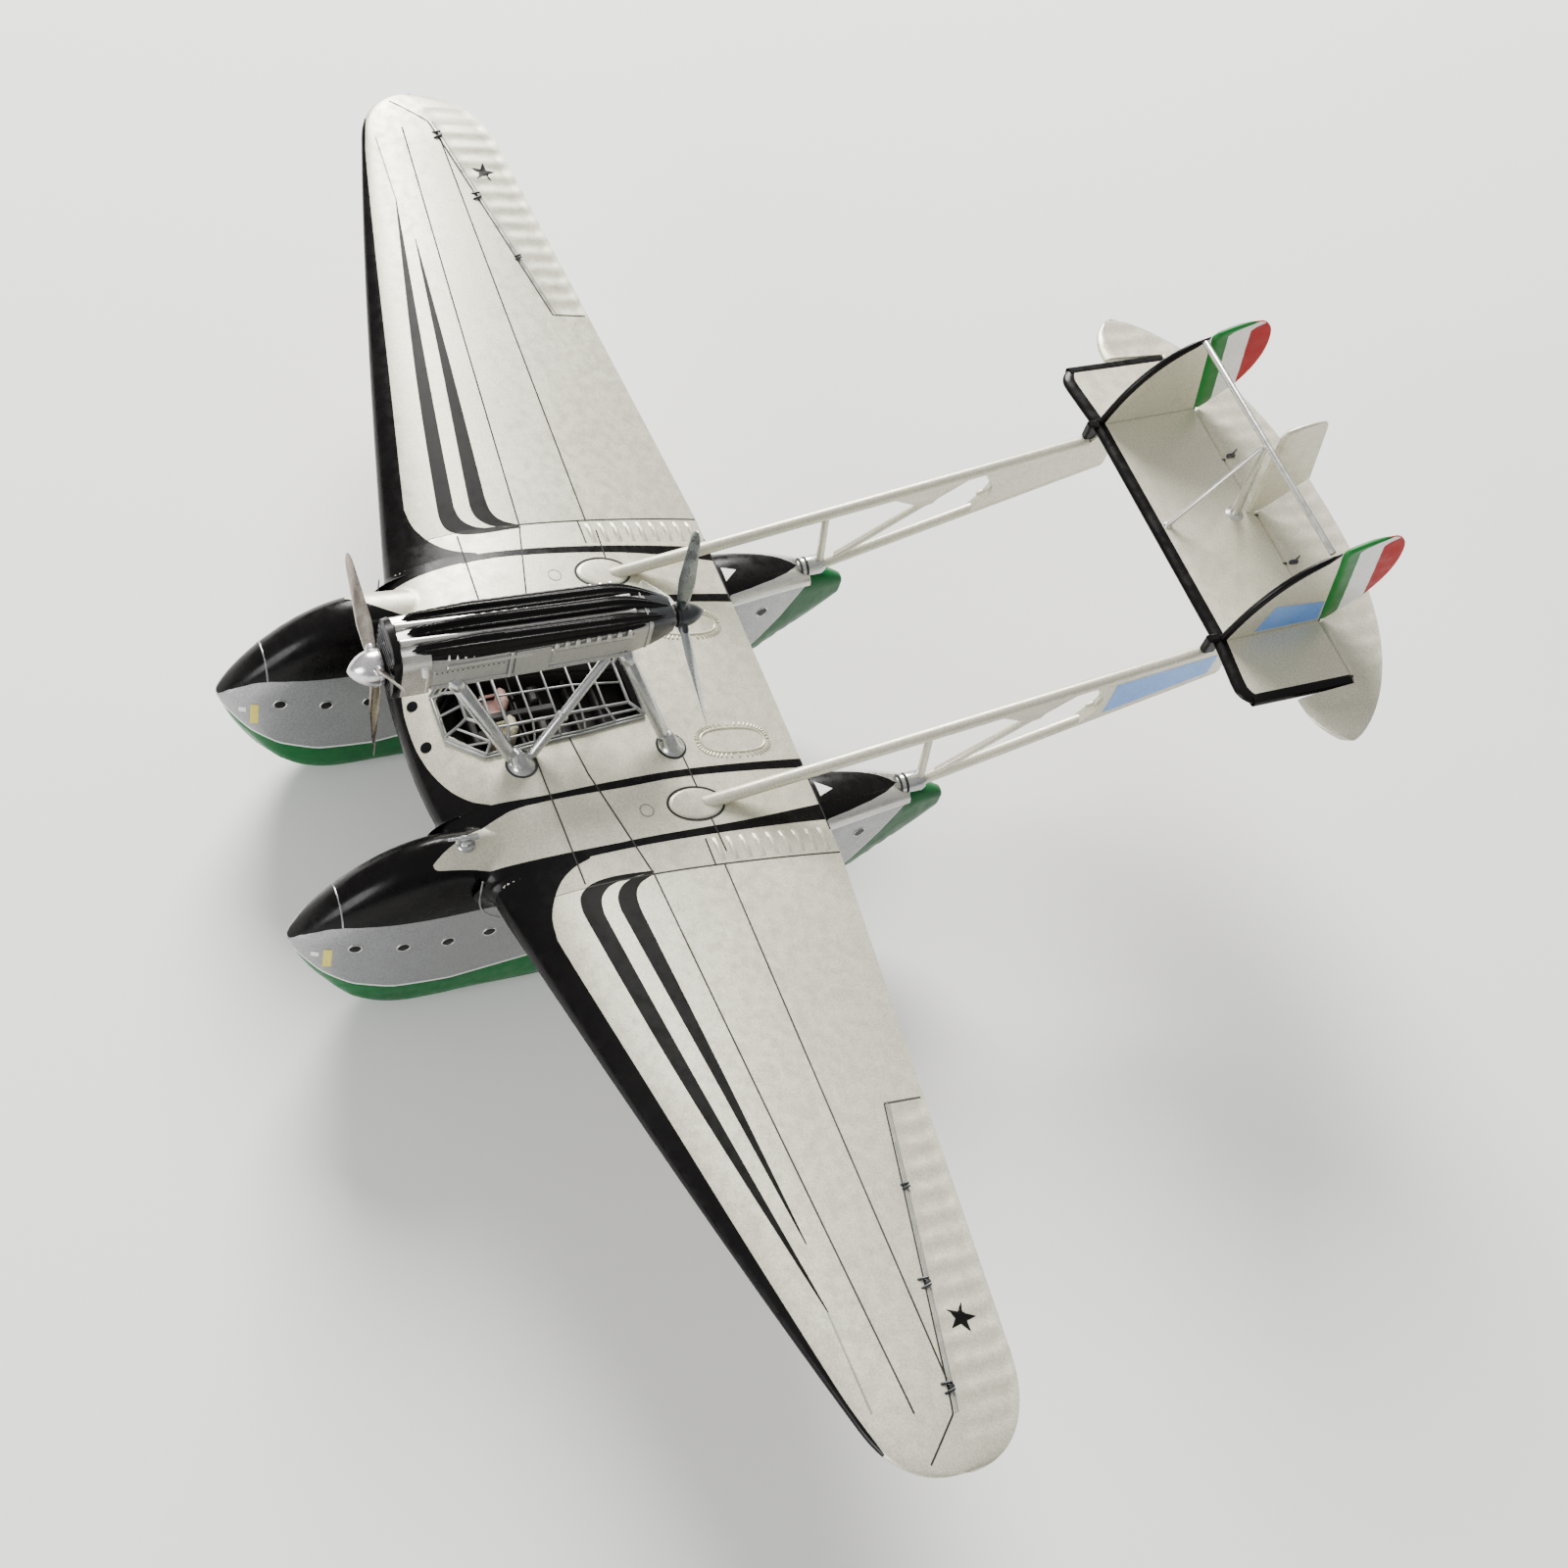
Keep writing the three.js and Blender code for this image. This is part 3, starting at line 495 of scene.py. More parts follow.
def hull_keel(y):
    if y < BOW_END_Y:
        return NOSE_Z * ((BOW_END_Y - y) / 15) ** 3
    if y <= STEP_Y:
        return 0.0
    return 1 + 13.3 * ((y - STEP_Y) / 25) ** 1.6


def hull_beam(y):
    if y < -43:
        return HALF_BEAM * math.sqrt(1 - min(1, (-43 - y) / 16) ** 2.4)
    if y <= -8:
        return HALF_BEAM
    return HALF_BEAM - 3.05 * ((y + 8) / 19) ** 1.7


def hull_side(y):
    """Height where the side starts to round over to the deck."""
    share = 0.7 + 0.17 * clamp((y + 12) / 8)
    return hull_keel(y) + share * (hull_deck(y) - hull_keel(y))


def hull_top(offset, y):
    """Height of the hull's upper surface at a distance from its centre line, or None beside it."""
    beam = hull_beam(y)
    if abs(offset) >= beam:
        return None
    cosine = (abs(offset) / beam) ** 1.25
    return hull_side(y) + (hull_deck(y) - hull_side(y)) * (1 - cosine**2) ** 0.45


def half_section(y):
    """Points from the keel to the middle of the deck, as distance from the centre and height."""
    deck, keel, beam = hull_deck(y), hull_keel(y), hull_beam(y)
    depth = deck - keel
    rise = min(2.4, depth * 0.2)
    points = [(0, keel), (min(0.6, beam * 0.4), keel + 0.02)]
    points += [(beam * 0.9, keel + rise), (beam, keel + rise + 0.15 * depth), (beam, hull_side(y))]
    for k in range(1, 15):
        angle = k * math.pi / 28
        height = hull_side(y) + (deck - hull_side(y)) * math.sin(angle) ** 0.9
        points.append((beam * math.cos(angle) ** 0.8, height))
    return points[:-1] + [(0, deck)]


def part_of(section, low, high, count):
    """The stretch of a half section between two heights, as count + 1 points."""
    line = [Vector((x, z)) for x, z in section]
    result = [at_height(line, low)]
    result += [point for point in line if low < point.y < high]
    result.append(at_height(line, high))
    return even(result, count + 1)


def at_height(line, height):
    for a, b in zip(line, line[1:]):
        if a.y <= height <= b.y and b.y > a.y:
            return a.lerp(b, (height - a.y) / (b.y - a.y))
    return line[0].copy() if height < line[0].y else line[-1].copy()


def curve_value(points, x):
    """Joins the given (x, value) pairs with straight lines."""
    for (x0, v0), (x1, v1) in zip(points, points[1:]):
        if x <= x1:
            return v0 + (v1 - v0) * clamp((x - x0) / (x1 - x0))
    return points[-1][1]


GREEN_LINE = [(-59, 15.0), (-58, 13.8), (-56, 11.0), (-53, 8.6), (-49, 7.0), (-43, 6.5), (-35, 7.6)]
GREEN_LINE += [(-8, 8.2), (-1.5, 9.2), (1.2, 11.8), (3.5, 15.2), (6.8, 21.5)]
BLACK_LINE = [
    (-59, 15.5), (-58, 16.7), (-57, 17.6), (-55.5, 18.7), (-54, 19.2), (-52, 19.4), (-6, 19.4),
]
STERN_BLACK = [(-6, 3.0), (-3.7, 2.8), (-1.5, 2.45), (1.3, 1.8), (3.3, 1.1), (5.2, 0.05)]
LEAF_END_Y = 5.2
# The thin white band above the green is a painted highlight on the raised chine edge.
CHINE_HIGHLIGHT_WIDTH = 0.24


def paint_heights(y):
    """Heights where green, the white band (a painted highlight on the raised chine edge), silver and black
    end on the hull's side.
    """
    keel, deck = hull_keel(y), hull_deck(y)
    green = clamp(curve_value(GREEN_LINE, y), keel, deck)
    white = clamp(green + CHINE_HIGHLIGHT_WIDTH, keel, deck)
    if y < -6:
        black = curve_value(BLACK_LINE, y)
    else:
        reach = min(curve_value(STERN_BLACK, y), hull_beam(y) * 0.97)
        blend = clamp((y + 6) / 2)
        black = 19.4 + (hull_top(reach, y) - 19.4) * blend
    if y > LEAF_END_Y:
        black = deck
    return [keel, green, white, max(white, clamp(black, keel, deck)), deck]


SEGMENTS = (9, 2, 12, 14)


def hull_ring(y, side):
    section = half_section(y)
    heights = paint_heights(y)
    half = []
    for count, low, high in zip(SEGMENTS, heights, heights[1:]):
        if high > low:
            half += part_of(section, low, high, count)[:-1]
        else:
            half += [at_height_of(section, low)] * count
    half.append(Vector((0, heights[-1])))
    twin = [Vector((-point.x, point.y)) for point in half[-2:0:-1]]
    return [Vector((side * HULL_X + point.x, y, point.y)) for point in half + twin]


def at_height_of(section, height):
    return at_height([Vector(point) for point in section], height)


def hull_look(_, place):
    """Which paint a face of the hull has, by its place round the ring."""
    total = sum(SEGMENTS)
    place = place if place < total else 2 * total - 1 - place
    for look, count in enumerate(SEGMENTS):
        if place < count:
            return look
        place -= count
    return len(SEGMENTS) - 1


def make_hull(name, side):
    skin = Skin()
    bow = [NOSE_Y + 15 * (k / 26) ** 1.8 for k in range(27)]
    bow[0] = NOSE_Y + 0.01
    middle = [BOW_END_Y + k * (STEP_Y - BOW_END_Y) / 30 for k in range(1, 31)]
    stern = [STEP_Y + 0.02] + [STEP_Y + k * (STERN_Y - STEP_Y) / 70 for k in range(1, 71)]
    rings = [hull_ring(y, side) for y in bow + middle + stern]
    for y, shrink in ((STERN_Y + 0.25, 0.88), (STERN_Y + 0.32, 0.6)):
        centre = Vector((side * HULL_X, y, (hull_deck(STERN_Y) + hull_keel(STERN_Y)) / 2))
        rings.append([centre + (point - centre) * shrink for point in hull_ring(STERN_Y, side)])
        for point in rings[-1]:
            point.y = y
    skin.loft(rings, hull_look)
    nodes = [f"{name}_{part}" for part in ("hull", "hull_bottom", "deck_fairing")]
    # white_paint on the hull is the painted highlight along the chine.
    skin.make(f"{name}_hull_skin", [GREEN, WHITE, HULL_SILVER, BLACK], "green_paint", nodes, sharp=50)


def on_top(x, y, lift):
    """A point just over whichever is higher, the wing or the hull's deck."""
    ridge = hull_top(abs(x) - HULL_X, y)
    if y <= nose_line(x) and ridge is not None:
        return Vector((x, y, ridge + lift))
    point = on_wing(x, turn_at(x, y), lift)
    if ridge is not None and ridge + lift > point.z:
        point.z = ridge + lift
    return point


# ---------------------------------------------------------------- paint on the wing


def ribbon(skin, first, second, lift=PAINT_LIFT, steps=6, count=60, look=0, side=1):
    """Paint draped between two lines of (x, y) points."""
    a, b = flow(first, count), flow(second, count)
    rows = []
    for p, q in zip(a, b):
        line = [p.lerp(q, k / steps) for k in range(steps + 1)]
        rows.append([on_top(side * point.x, point.y, lift) for point in line])
    skin.grid(rows, look, toward=UP)


def thin_line(skin, points, width=LINE_WIDTH, lift=PAINT_LIFT * 1.6, look=0, side=1, pitch=0.7):
    """A narrow painted line along (x, y) points."""
    nodes = [Vector(point) for point in points]
    length = sum((b - a).length for a, b in zip(nodes, nodes[1:]))
    line = even(nodes, max(3, round(length / pitch)))
    rows = []
    for k, point in enumerate(line):
        ahead = (line[min(k + 1, len(line) - 1)] - line[max(k - 1, 0)]).normalized()
        normal = Vector((-ahead.y, ahead.x)) * width / 2
        pair = (point - normal, point, point + normal)
        rows.append([on_top(side * spot.x, spot.y, lift) for spot in pair])
    skin.grid(rows, look, toward=UP)


def loop_points(centre, half_x, half_y, count=40, power=1.0):
    """Points round an oval, or round a stadium shape where power is under 1."""
    points = []
    for k in range(count):
        angle = TURN * k / count
        cosine, sine = math.cos(angle), math.sin(angle)
        x = math.copysign(abs(cosine) ** power, cosine)
        y = math.copysign(abs(sine) ** power, sine)
        points.append((centre[0] + half_x * x, centre[1] + half_y * y))
    return points


NOSE_BAND = [
    (18.2, -31.5), (18.9, -30.9), (19.5, -32.7), (20.5, -34.3), (22.0, -35.5), (24.0, -36.4),
    (26.0, -36.6),
]
NOSE_BAND += [(28.0, -36.4), (45.0, -33.35), (60.0, -30.7), (74.0, -28.1), (78.0, -27.2), (81.2, -26.3)]
CENTRE_BAND = [(0.0, -43.45), (2.4, -43.35), (5.3, -42.8), (8.0, -41.7), (9.9, -40.2), (10.9, -38.6)]
CENTRE_BAND += [(11.7, -37.6), (12.5, -38.2), (13.1, -40.0), (13.6, -41.5)]
STRIPE_2 = (
    [
        (21.6, -25.4), (21.45, -30.0), (22.0, -32.4), (23.6, -33.5), (28.0, -33.1), (45.0, -30.55),
        (68.4, -26.3),
    ],
    [
        (21.75, -25.4), (22.1, -29.3), (23.0, -31.0), (24.6, -31.65), (28.0, -31.4), (45.0, -29.3),
        (68.4, -26.2),
    ],
)
STRIPE_3 = (
    [
        (21.75, -25.45), (22.1, -28.0), (23.0, -29.4), (24.6, -30.0), (28.0, -29.7), (45.0, -27.65),
        (62.0, -25.75),
    ],
    [
        (21.95, -25.45), (22.7, -27.1), (23.7, -27.9), (25.4, -28.15), (29.0, -27.9), (45.0, -26.7),
        (62.0, -25.65),
    ],
)
OUTER_ARC = (
    [
        (17.1, -41.3), (17.6, -38.0), (17.85, -35.0), (18.0, -30.0), (17.9, -25.7), (17.35, -14.5),
        (16.1, -4.62),
    ],
    [
        (19.05, -41.0), (19.05, -38.0), (19.0, -35.0), (18.85, -31.0), (18.7, -25.5), (18.35, -14.5),
        (18.0, -4.62),
    ],
)
INNER_ARC = (
    [(10.9, -41.5), (10.95, -38.6), (11.35, -33.0), (11.05, -25.6), (10.65, -18.0), (10.4, -4.62)],
    [(13.6, -41.5), (12.5, -38.2), (12.05, -35.7), (11.95, -25.6), (11.5, -18.0), (11.5, -4.62)],
)
DECK_PANEL = (
    [(16.1, -45.75), (15.0, -44.1), (13.6, -41.5), (12.5, -38.2), (12.05, -35.7), (12.15, -33.0)],
    [(16.15, -45.75), (16.65, -45.2), (17.05, -41.5), (17.6, -38.0), (17.85, -35.1), (17.95, -33.0)],
)


def nose_wrap(skin, points, under, side, count=110):
    """Black round the leading edge, from a little way underneath to a line of points on top."""
    rows = []
    for point in flow(points, count):
        nose, end = nose_line(point.x), tail_line(point.x)
        low = -math.acos(1 - 2 * under / (end - nose))
        high = turn_at(point.x, point.y)
        steps = 26
        turns = [low + (high - low) * k / steps for k in range(steps + 1)]
        rows.append([on_wing(side * point.x, turn, PAINT_LIFT) for turn in turns])
    skin.grid(rows, toward=Vector((0, -0.5, 1)))


def make_wing_paint(name, side):
    gloss = Skin()
    nose_wrap(gloss, NOSE_BAND, 1.6, side)
    nose_wrap(gloss, CENTRE_BAND, 1.6, side, 50)
    for first, second in (OUTER_ARC, INNER_ARC):
        ribbon(gloss, first, second, side=side, count=90)
    gloss.make(f"{name}_black_bands", [BLACK], "gloss_black", solid=False)
    matt = Skin()
    for first, second in (STRIPE_2, STRIPE_3):
        ribbon(matt, first, second, side=side, count=120)
    matt.make(f"{name}_wing_stripes", [STRIPE], "gloss_black", solid=False)
    panel = Skin()
    ribbon(panel, *DECK_PANEL, lift=0.045, side=side, steps=16, count=60)
    panel.make(f"{name}_deck_panel", [SILVER], "silver_paint", solid=False)


def make_panel_lines(name, side):
    dark = Skin()
    for points in (
        [(0.2, -33.0), (10.1, -32.8), (21.6, -32.4)],
        [(4.8, -28.9), (9.8, -28.3), (JOINT_X, -25.5), (78.8, -22.66)],
        [(8.8, -17.8), (20.6, -17.2)],
        [(JOINT_X, -17.95), (AILERON_TIP_X - 2.9, -18.58)],
        [(JOINT_X, -32.4), (JOINT_X, tail_line(JOINT_X) - 0.1)],
        [(18.9, -18.9), (JOINT_X, -18.9)],
        [(10.4, -4.7), (JOINT_X - 2.8, -4.7)],
        [(AILERON_ROOT_X, aileron_hinge(AILERON_ROOT_X)), (AILERON_ROOT_X, -8.7)],
        [(AILERON_ROOT_X, -12.7), (AILERON_TIP_X, aileron_hinge(AILERON_TIP_X)), (83.2, -23.0)],
    ):
        thin_line(dark, points, side=side)
    thin_line(dark, [(68.4, -26.3), (77.7, -26.1)], side=side, look=1)
    # Beside the aileron hinge: a bright silver strip, a painted highlight on the groove's raised edge,
    # then a faint dark line.
    for shift, lift, look in ((0.26, PAINT_LIFT * 2, 2), (0.5, PAINT_LIFT, 1)):
        hinge = [(AILERON_ROOT_X, -12.7 + shift), (AILERON_TIP_X, aileron_hinge(AILERON_TIP_X) + shift)]
        thin_line(dark, hinge, lift=lift, side=side, look=look)
    circle = loop_points((14.9, -23.8), 0.7, 0.7)
    thin_line(dark, circle + circle[:1], width=0.13, side=side, pitch=0.2, look=1)
    foot = loop_points(BOOM_FOOT, 1.95, 3.05, 60)
    thin_line(dark, foot + foot[:1], width=0.24, side=side, pitch=0.3)
    dark.make(f"{name}_panel_lines", [SEAM, FAINT_SEAM, BRIGHT_SILVER], "gloss_black", solid=False)


def make_star(name, side):
    centre = Vector((71.9, -14.7))
    tips = []
    for k in range(10):
        radius = 1.5 if k % 2 == 0 else 0.58
        angle = TURN * k / 10 + 0.2
        tips.append(centre + Vector((math.cos(angle), math.sin(angle))) * radius)
    skin = Skin()
    rows = []
    for k in range(11):
        rows.append([centre.lerp(tips[k % 10], part / 5) for part in range(6)])
    skin.grid([[on_top(side * p.x, p.y, 0.035) for p in row] for row in rows], toward=UP)
    skin.make(f"{name}_star", [STRIPE], "gloss_black", solid=False)


def make_wing_fittings(name, side):
    """Walkway ribs, the riveted oval hatch, aileron brackets and the boom's foot plate."""
    skin = Skin()
    for k in range(9):
        y = -17.9 + k * 1.5
        rows = []
        for step in range(7):
            x = 18.9 + 2.7 * step / 6
            high = 0.24 * min(1, 3 * step / 6, 3 * (6 - step) / 6)
            profile = ((-0.34, 0.0), (-0.2, 0.8), (0.0, 1.0), (0.2, 0.8), (0.34, 0.0))
            rows.append([on_top(side * x, y + shift, 0.01 + high * part) for shift, part in profile])
        skin.grid(rows, toward=UP)
    oval = [on_top(side * x, y, 0.02) for x, y in loop_points(HATCH_CENTRE, 1.5, 3.6, 64, 0.75)]
    closed_ring(skin, oval, 0.13)
    ticks = 48
    outer = loop_points(HATCH_CENTRE, 2.15, 4.25, ticks, 0.75)
    inner = loop_points(HATCH_CENTRE, 1.72, 3.82, ticks, 0.75)
    for (x0, y0), (x1, y1) in zip(inner, outer):
        rod(skin, on_top(side * x0, y0, 0.04), on_top(side * x1, y1, 0.02), 0.12, sides=8)
    foot = []
    profile = ((1, 0.0), (0.94, 0.10), (0.86, 0.12), (0.6, 0.14), (0.3, 0.16), (0.02, 0.17))
    for shrink, height in profile:
        ring = loop_points(BOOM_FOOT, 1.8 * shrink, 2.9 * shrink, 48)
        foot.append([on_top(side * x, y, 0.02 + height) for x, y in ring])
    skin.grid(foot, closed=True, toward=UP)
    skin.make(f"{name}_wing_fittings", [SILVER], "silver_paint", solid=False)
    brackets = Skin()
    for x, y in ((68.1, -16.7), (77.5, -18.8), (58.9, -14.5)):
        base = on_top(side * x, y, 0.0)
        size = 0.5 if x < 60 else 1.0
        for way in (-1, 1):
            front = base + Vector((0.45 * way * size, -0.5 * size, 0))
            back = base + Vector((0.3 * way * size, 0.5, 0.3))
            rod(brackets, front, back, 0.13)
        dome(brackets, base + Vector((0, 0.35, 0.1)), UP, 0.3 * size)
    brackets.make(f"{name}_aileron_brackets", [GUNMETAL], "engine_silver")


def wing_stations(start, end, pitch):
    count = round((end - start) / pitch)
    return [start + (end - start) * k / count for k in range(count + 1)]


def wing_skin(stations):
    skin = Skin()
    steps = 46
    turns = [math.pi * k / steps for k in range(steps + 1)]
    turns += [-math.pi * k / steps for k in range(steps, 0, -1)]
    skin.loft([[wing_point(x, turn) for turn in turns] for x in stations])
    return skin


CANOPY_RIM = [(2.4, -40.6), (5.6, -37.4), (5.6, -35.2), (4.9, -27.0), (3.8, -20.2)]
CANOPY_TOP = [(1.6, -38.4), (3.5, -36.2), (3.6, -34.8), (3.2, -27.0), (2.5, -21.6)]
CANOPY_TOP_Z = [27.3, 27.7, 27.8, 27.4, 26.3]
FLOOR_Z = 20.9


def cockpit_outline(inset):
    half = [(x - inset, y + (inset if y < -38 else 0)) for x, y in CANOPY_RIM]
    return half + [(-x, y) for x, y in reversed(half)]


def cut_out(piece, cutter):
    """Takes the cutter's shape out of a piece for good."""
    tool = piece.modifiers.new("cut", "BOOLEAN")
    tool.object = cutter
    tool.operation = "DIFFERENCE"
    tool.solver = "EXACT"
    tool.material_mode = "TRANSFER"
    view = bpy.context.evaluated_depsgraph_get()
    result = bpy.data.meshes.new_from_object(piece.evaluated_get(view))
    piece.modifiers.clear()
    piece.data = result
    bpy.data.objects.remove(cutter)


def make_wings():
    centre = wing_skin(wing_stations(-JOINT_X + 0.03, JOINT_X - 0.03, 0.8))
    piece = centre.make(
        "wing_centre_skin", [SILVER, CABIN], "silver_paint", ["wing_centre_section"], sharp=60,
    )
    pocket = Skin()
    outline = cockpit_outline(0.3)
    pocket.loft([[Vector((x, y, z)) for x, y in outline] for z in (FLOOR_Z, 40)], 0)
    cutter = pocket.make("pocket", [CABIN], "cabin_paint")
    cut_out(piece, cutter)
    for name, side in SIDES.items():
        stations = wing_stations(JOINT_X + 0.05, 79.5, 0.46)
        stations += [79.5 + (HALF_SPAN - 79.5) * (1 - (1 - k / 16) ** 2.2) for k in range(1, 16)]
        stations.append(HALF_SPAN - 0.004)
        skin = wing_skin([side * x for x in stations])
        skin.make(f"{name}_wing_skin", [SILVER], "silver_paint", [f"{name}_outer_wing"], sharp=60)
        make_wing_paint(name, side)
        make_panel_lines(name, side)
        make_star(name, side)
        make_wing_fittings(name, side)


# ---------------------------------------------------------------- hull details


def fillet(skin, side, way):
    """A concave fairing between a hull's side and the wing's leading edge, fading out on top."""
    wall = HULL_X + way * (HALF_BEAM - 0.02)
    rows = []
    for k in range(31):
        turn = -1.35 + 1.95 * k / 30
        fade = 1 - clamp(turn / 0.6)
        reach = 0.1 + 1.4 * fade + 1.6 * clamp(-turn / 1.35)
        out = wing_point(wall + way * reach, turn) + wing_normal(wall, turn) * 0.015
        corner = wing_point(wall, turn) + wing_normal(wall, turn) * 0.015
        up = wing_point(wall, turn) + wing_normal(wall, turn) * (0.02 + 0.9 * reach * fade)
        up.x = wall
        row = []
        for j in range(9):
            s = j / 8
            point = up * (1 - s) ** 2 + corner * 2 * s * (1 - s) + out * s**2
            row.append(Vector((side * point.x, point.y, point.z)))
        rows.append(row)
    skin.grid(rows, lambda i, j: 0 if i > 11 else 1, toward=Vector((0, -1, 0)))


def side_port(skin, place, normal, radius=0.6):
    """A round window: silver rim and dark pane."""
    rim = [(radius * 1.2, -0.1), (radius * 1.2, 0.04), (radius * 1.1, 0.09), (radius * 0.98, 0.05)]
    pane = [(radius * 0.95, 0.03), (radius * 0.4, 0.05), (0.01, 0.06)]
    lathe(skin, place, normal, rim + pane, 24, lambda i, j: 0 if i < 3 else 1)


def make_hull_details(name, side):
    ports = Skin()
    for way in (1, -1):
        for y, z in ((-53.1, 15.7), (-48.4, 14.9), (-43.9, 14.4), (-39.7, 14.6), (0.5, 17.2)):
            beam = hull_beam(y)
            lean = 0.0 if -43 < y < -8 else (hull_beam(y + 0.2) - hull_beam(y - 0.2)) / 0.4
            normal = Vector((way, -lean, 0))
            side_port(ports, (side * HULL_X + way * beam, y, z), normal)
    ports.make(f"{name}_portholes", [BRIGHT_SILVER, GLASS], "silver_paint")
    roots = Skin()
    for way in (1, -1):
        fillet(roots, side, way)
    roots.make(f"{name}_root_fairings", [BLACK, HULL_SILVER], "gloss_black", solid=False)
    joint = Skin()
    for way in (1, -1):
        wall = side * HULL_X + way * (HALF_BEAM + 0.02)
        line = flow(
            [(wall, -41.5, 24.9), (wall, -41.4, 21.0), (wall, -40.6, 18.6), (wall, -38.9, 17.0)], 20,
        )
        for a, b in zip(line, line[1:]):
            rod(joint, a, b, 0.09, sides=8)
    joint.make(f"{name}_root_seams", [HULL_SILVER], "silver_paint")
    seam = Skin()
    y = BOW_SEAM_Y
    ring = [at_height_of(half_section(y), z) for z in deck_heights(y)]
    line = [Vector((p.x, y, p.y)) for p in ring]
    line += [Vector((-p.x, y, p.y)) for p in reversed(ring[:-1])]
    centre = Vector((0, y, 18))
    rows = []
    for shift, grow in ((-0.1, 0.0), (-0.07, 0.035), (0.07, 0.035), (0.1, 0.0)):
        rows.append([])
        for point in line:
            out = (point - centre).normalized() * grow
            rows[-1].append(point + out + Vector((side * HULL_X, shift, 0)))
    seam.grid(rows, toward=UP)
    seam.make(f"{name}_bow_seam", [HULL_SILVER], "silver_paint", solid=False)
    badge = Skin()
    bow_bar(badge, side)
    badge.make(f"{name}_bow_bar", [YELLOW, WHITE], "silver_paint", solid=False)
    make_stern_details(name, side)


def make_stern_details(name, side):
    """Bright edge round the black leaf, the white pointer on it and the boom's collar."""
    edge = Skin()
    for way in (1, -1):
        rows = []
        for k in range(40):
            y = -6.0 + 12.4 * k / 39
            section = half_section(y)
            low = hull_side(y) + 0.1 * (hull_deck(y) - hull_side(y))
            line = part_of(section, low, max(low + 0.05, paint_heights(y)[3]), 8)
            rows.append([Vector((side * HULL_X + way * (p.x + 0.015), y, p.y + 0.02)) for p in line])
        edge.grid(rows, toward=UP)
    edge.make(f"{name}_stern_edge", [BRIGHT_SILVER], "silver_paint", solid=False)
    pointer = Skin()
    rows = []
    for k in range(7):
        y = -4.15 + 1.6 * k / 6
        low, high = 13.3 + 1.25 * k / 6, 15.15 - 0.6 * k / 6
        xs = [low + (high - low) * j / 6 for j in range(7)]
        rows.append([Vector((side * x, y, hull_top(x - HULL_X, y) + 0.035)) for x in xs])
    pointer.grid(rows, toward=UP)
    pointer.make(f"{name}_stern_pointer", [WHITE], "silver_paint", solid=False)
    collar = Skin()
    base = Vector((side * HULL_X, 5.5, hull_deck(6.4) - 0.1))
    profile = [(0.3, -0.2), (1.0, 0), (1.12, 0.2), (1.12, 0.5), (1.02, 0.55), (1.02, 0.75), (1.15, 0.8)]
    profile += [(1.15, 2.3), (0.9, 2.8), (0.5, 3.0)]
    lathe(collar, base, (0, 1, 0.1), profile, 28)
    for reach in (0.02, 0.65):
        ring = [(1.0, reach - 0.07), (1.16, reach - 0.05), (1.16, reach + 0.05), (1.0, reach + 0.07)]
        lathe(collar, base, (0, 1, 0.1), ring, 28, 1)
    collar.make(f"{name}_stern_collar", [STRUT, SEAM], "silver_paint")


def deck_heights(y):
    low = paint_heights(y)[3]
    return [low + (hull_deck(y) - low) * k / 14 for k in range(15)]


def bow_bar(skin, side):
    """A plain bar and a dot on the outer side of each bow."""
    for way in (1, -1):
        for look, y0, y1, z0, z1 in ((0, -56.0, -55.2, 12.3, 15.6), (1, -57.1, -56.4, 14.2, 15.0)):
            rows = []
            for k in range(5):
                y = y0 + (y1 - y0) * k / 4
                section = half_section(y)
                row = []
                for j in range(7):
                    point = at_height_of(section, z0 + (z1 - z0) * j / 6)
                    row.append(Vector((side * HULL_X + way * (point.x + 0.03), y - 0.01, point.y)))
                rows.append(row)
            skin.grid(rows, look, toward=Vector((way, 0, 0)))


def make_gun():
    skin = Skin()
    y, z = -42.2, 26.16
    mount = [(0.95, 0), (0.95, 0.35), (0.85, 0.48), (0.6, 0.5), (0.5, 0.85), (0.3, 0.95)]
    lathe(skin, (HULL_X, y, z - 0.3), UP, mount)
    rod(skin, (HULL_X - 0.2, y - 1.8, 27.1), (HULL_X, y + 0.9, 27.1), 0.15, sides=12)
    rod(skin, (HULL_X - 0.1, y - 0.6, 27.1), (HULL_X, y + 0.5, 27.1), 0.26, sides=12)
    block(skin, (HULL_X - 0.35, y + 0.35, 26.8), (HULL_X + 0.25, y + 1.2, 27.25), 0.08)
    skin.make("bow_gun_detail", [STRUT], "engine_silver", ["bow_gun"])


# ---------------------------------------------------------------- cockpit


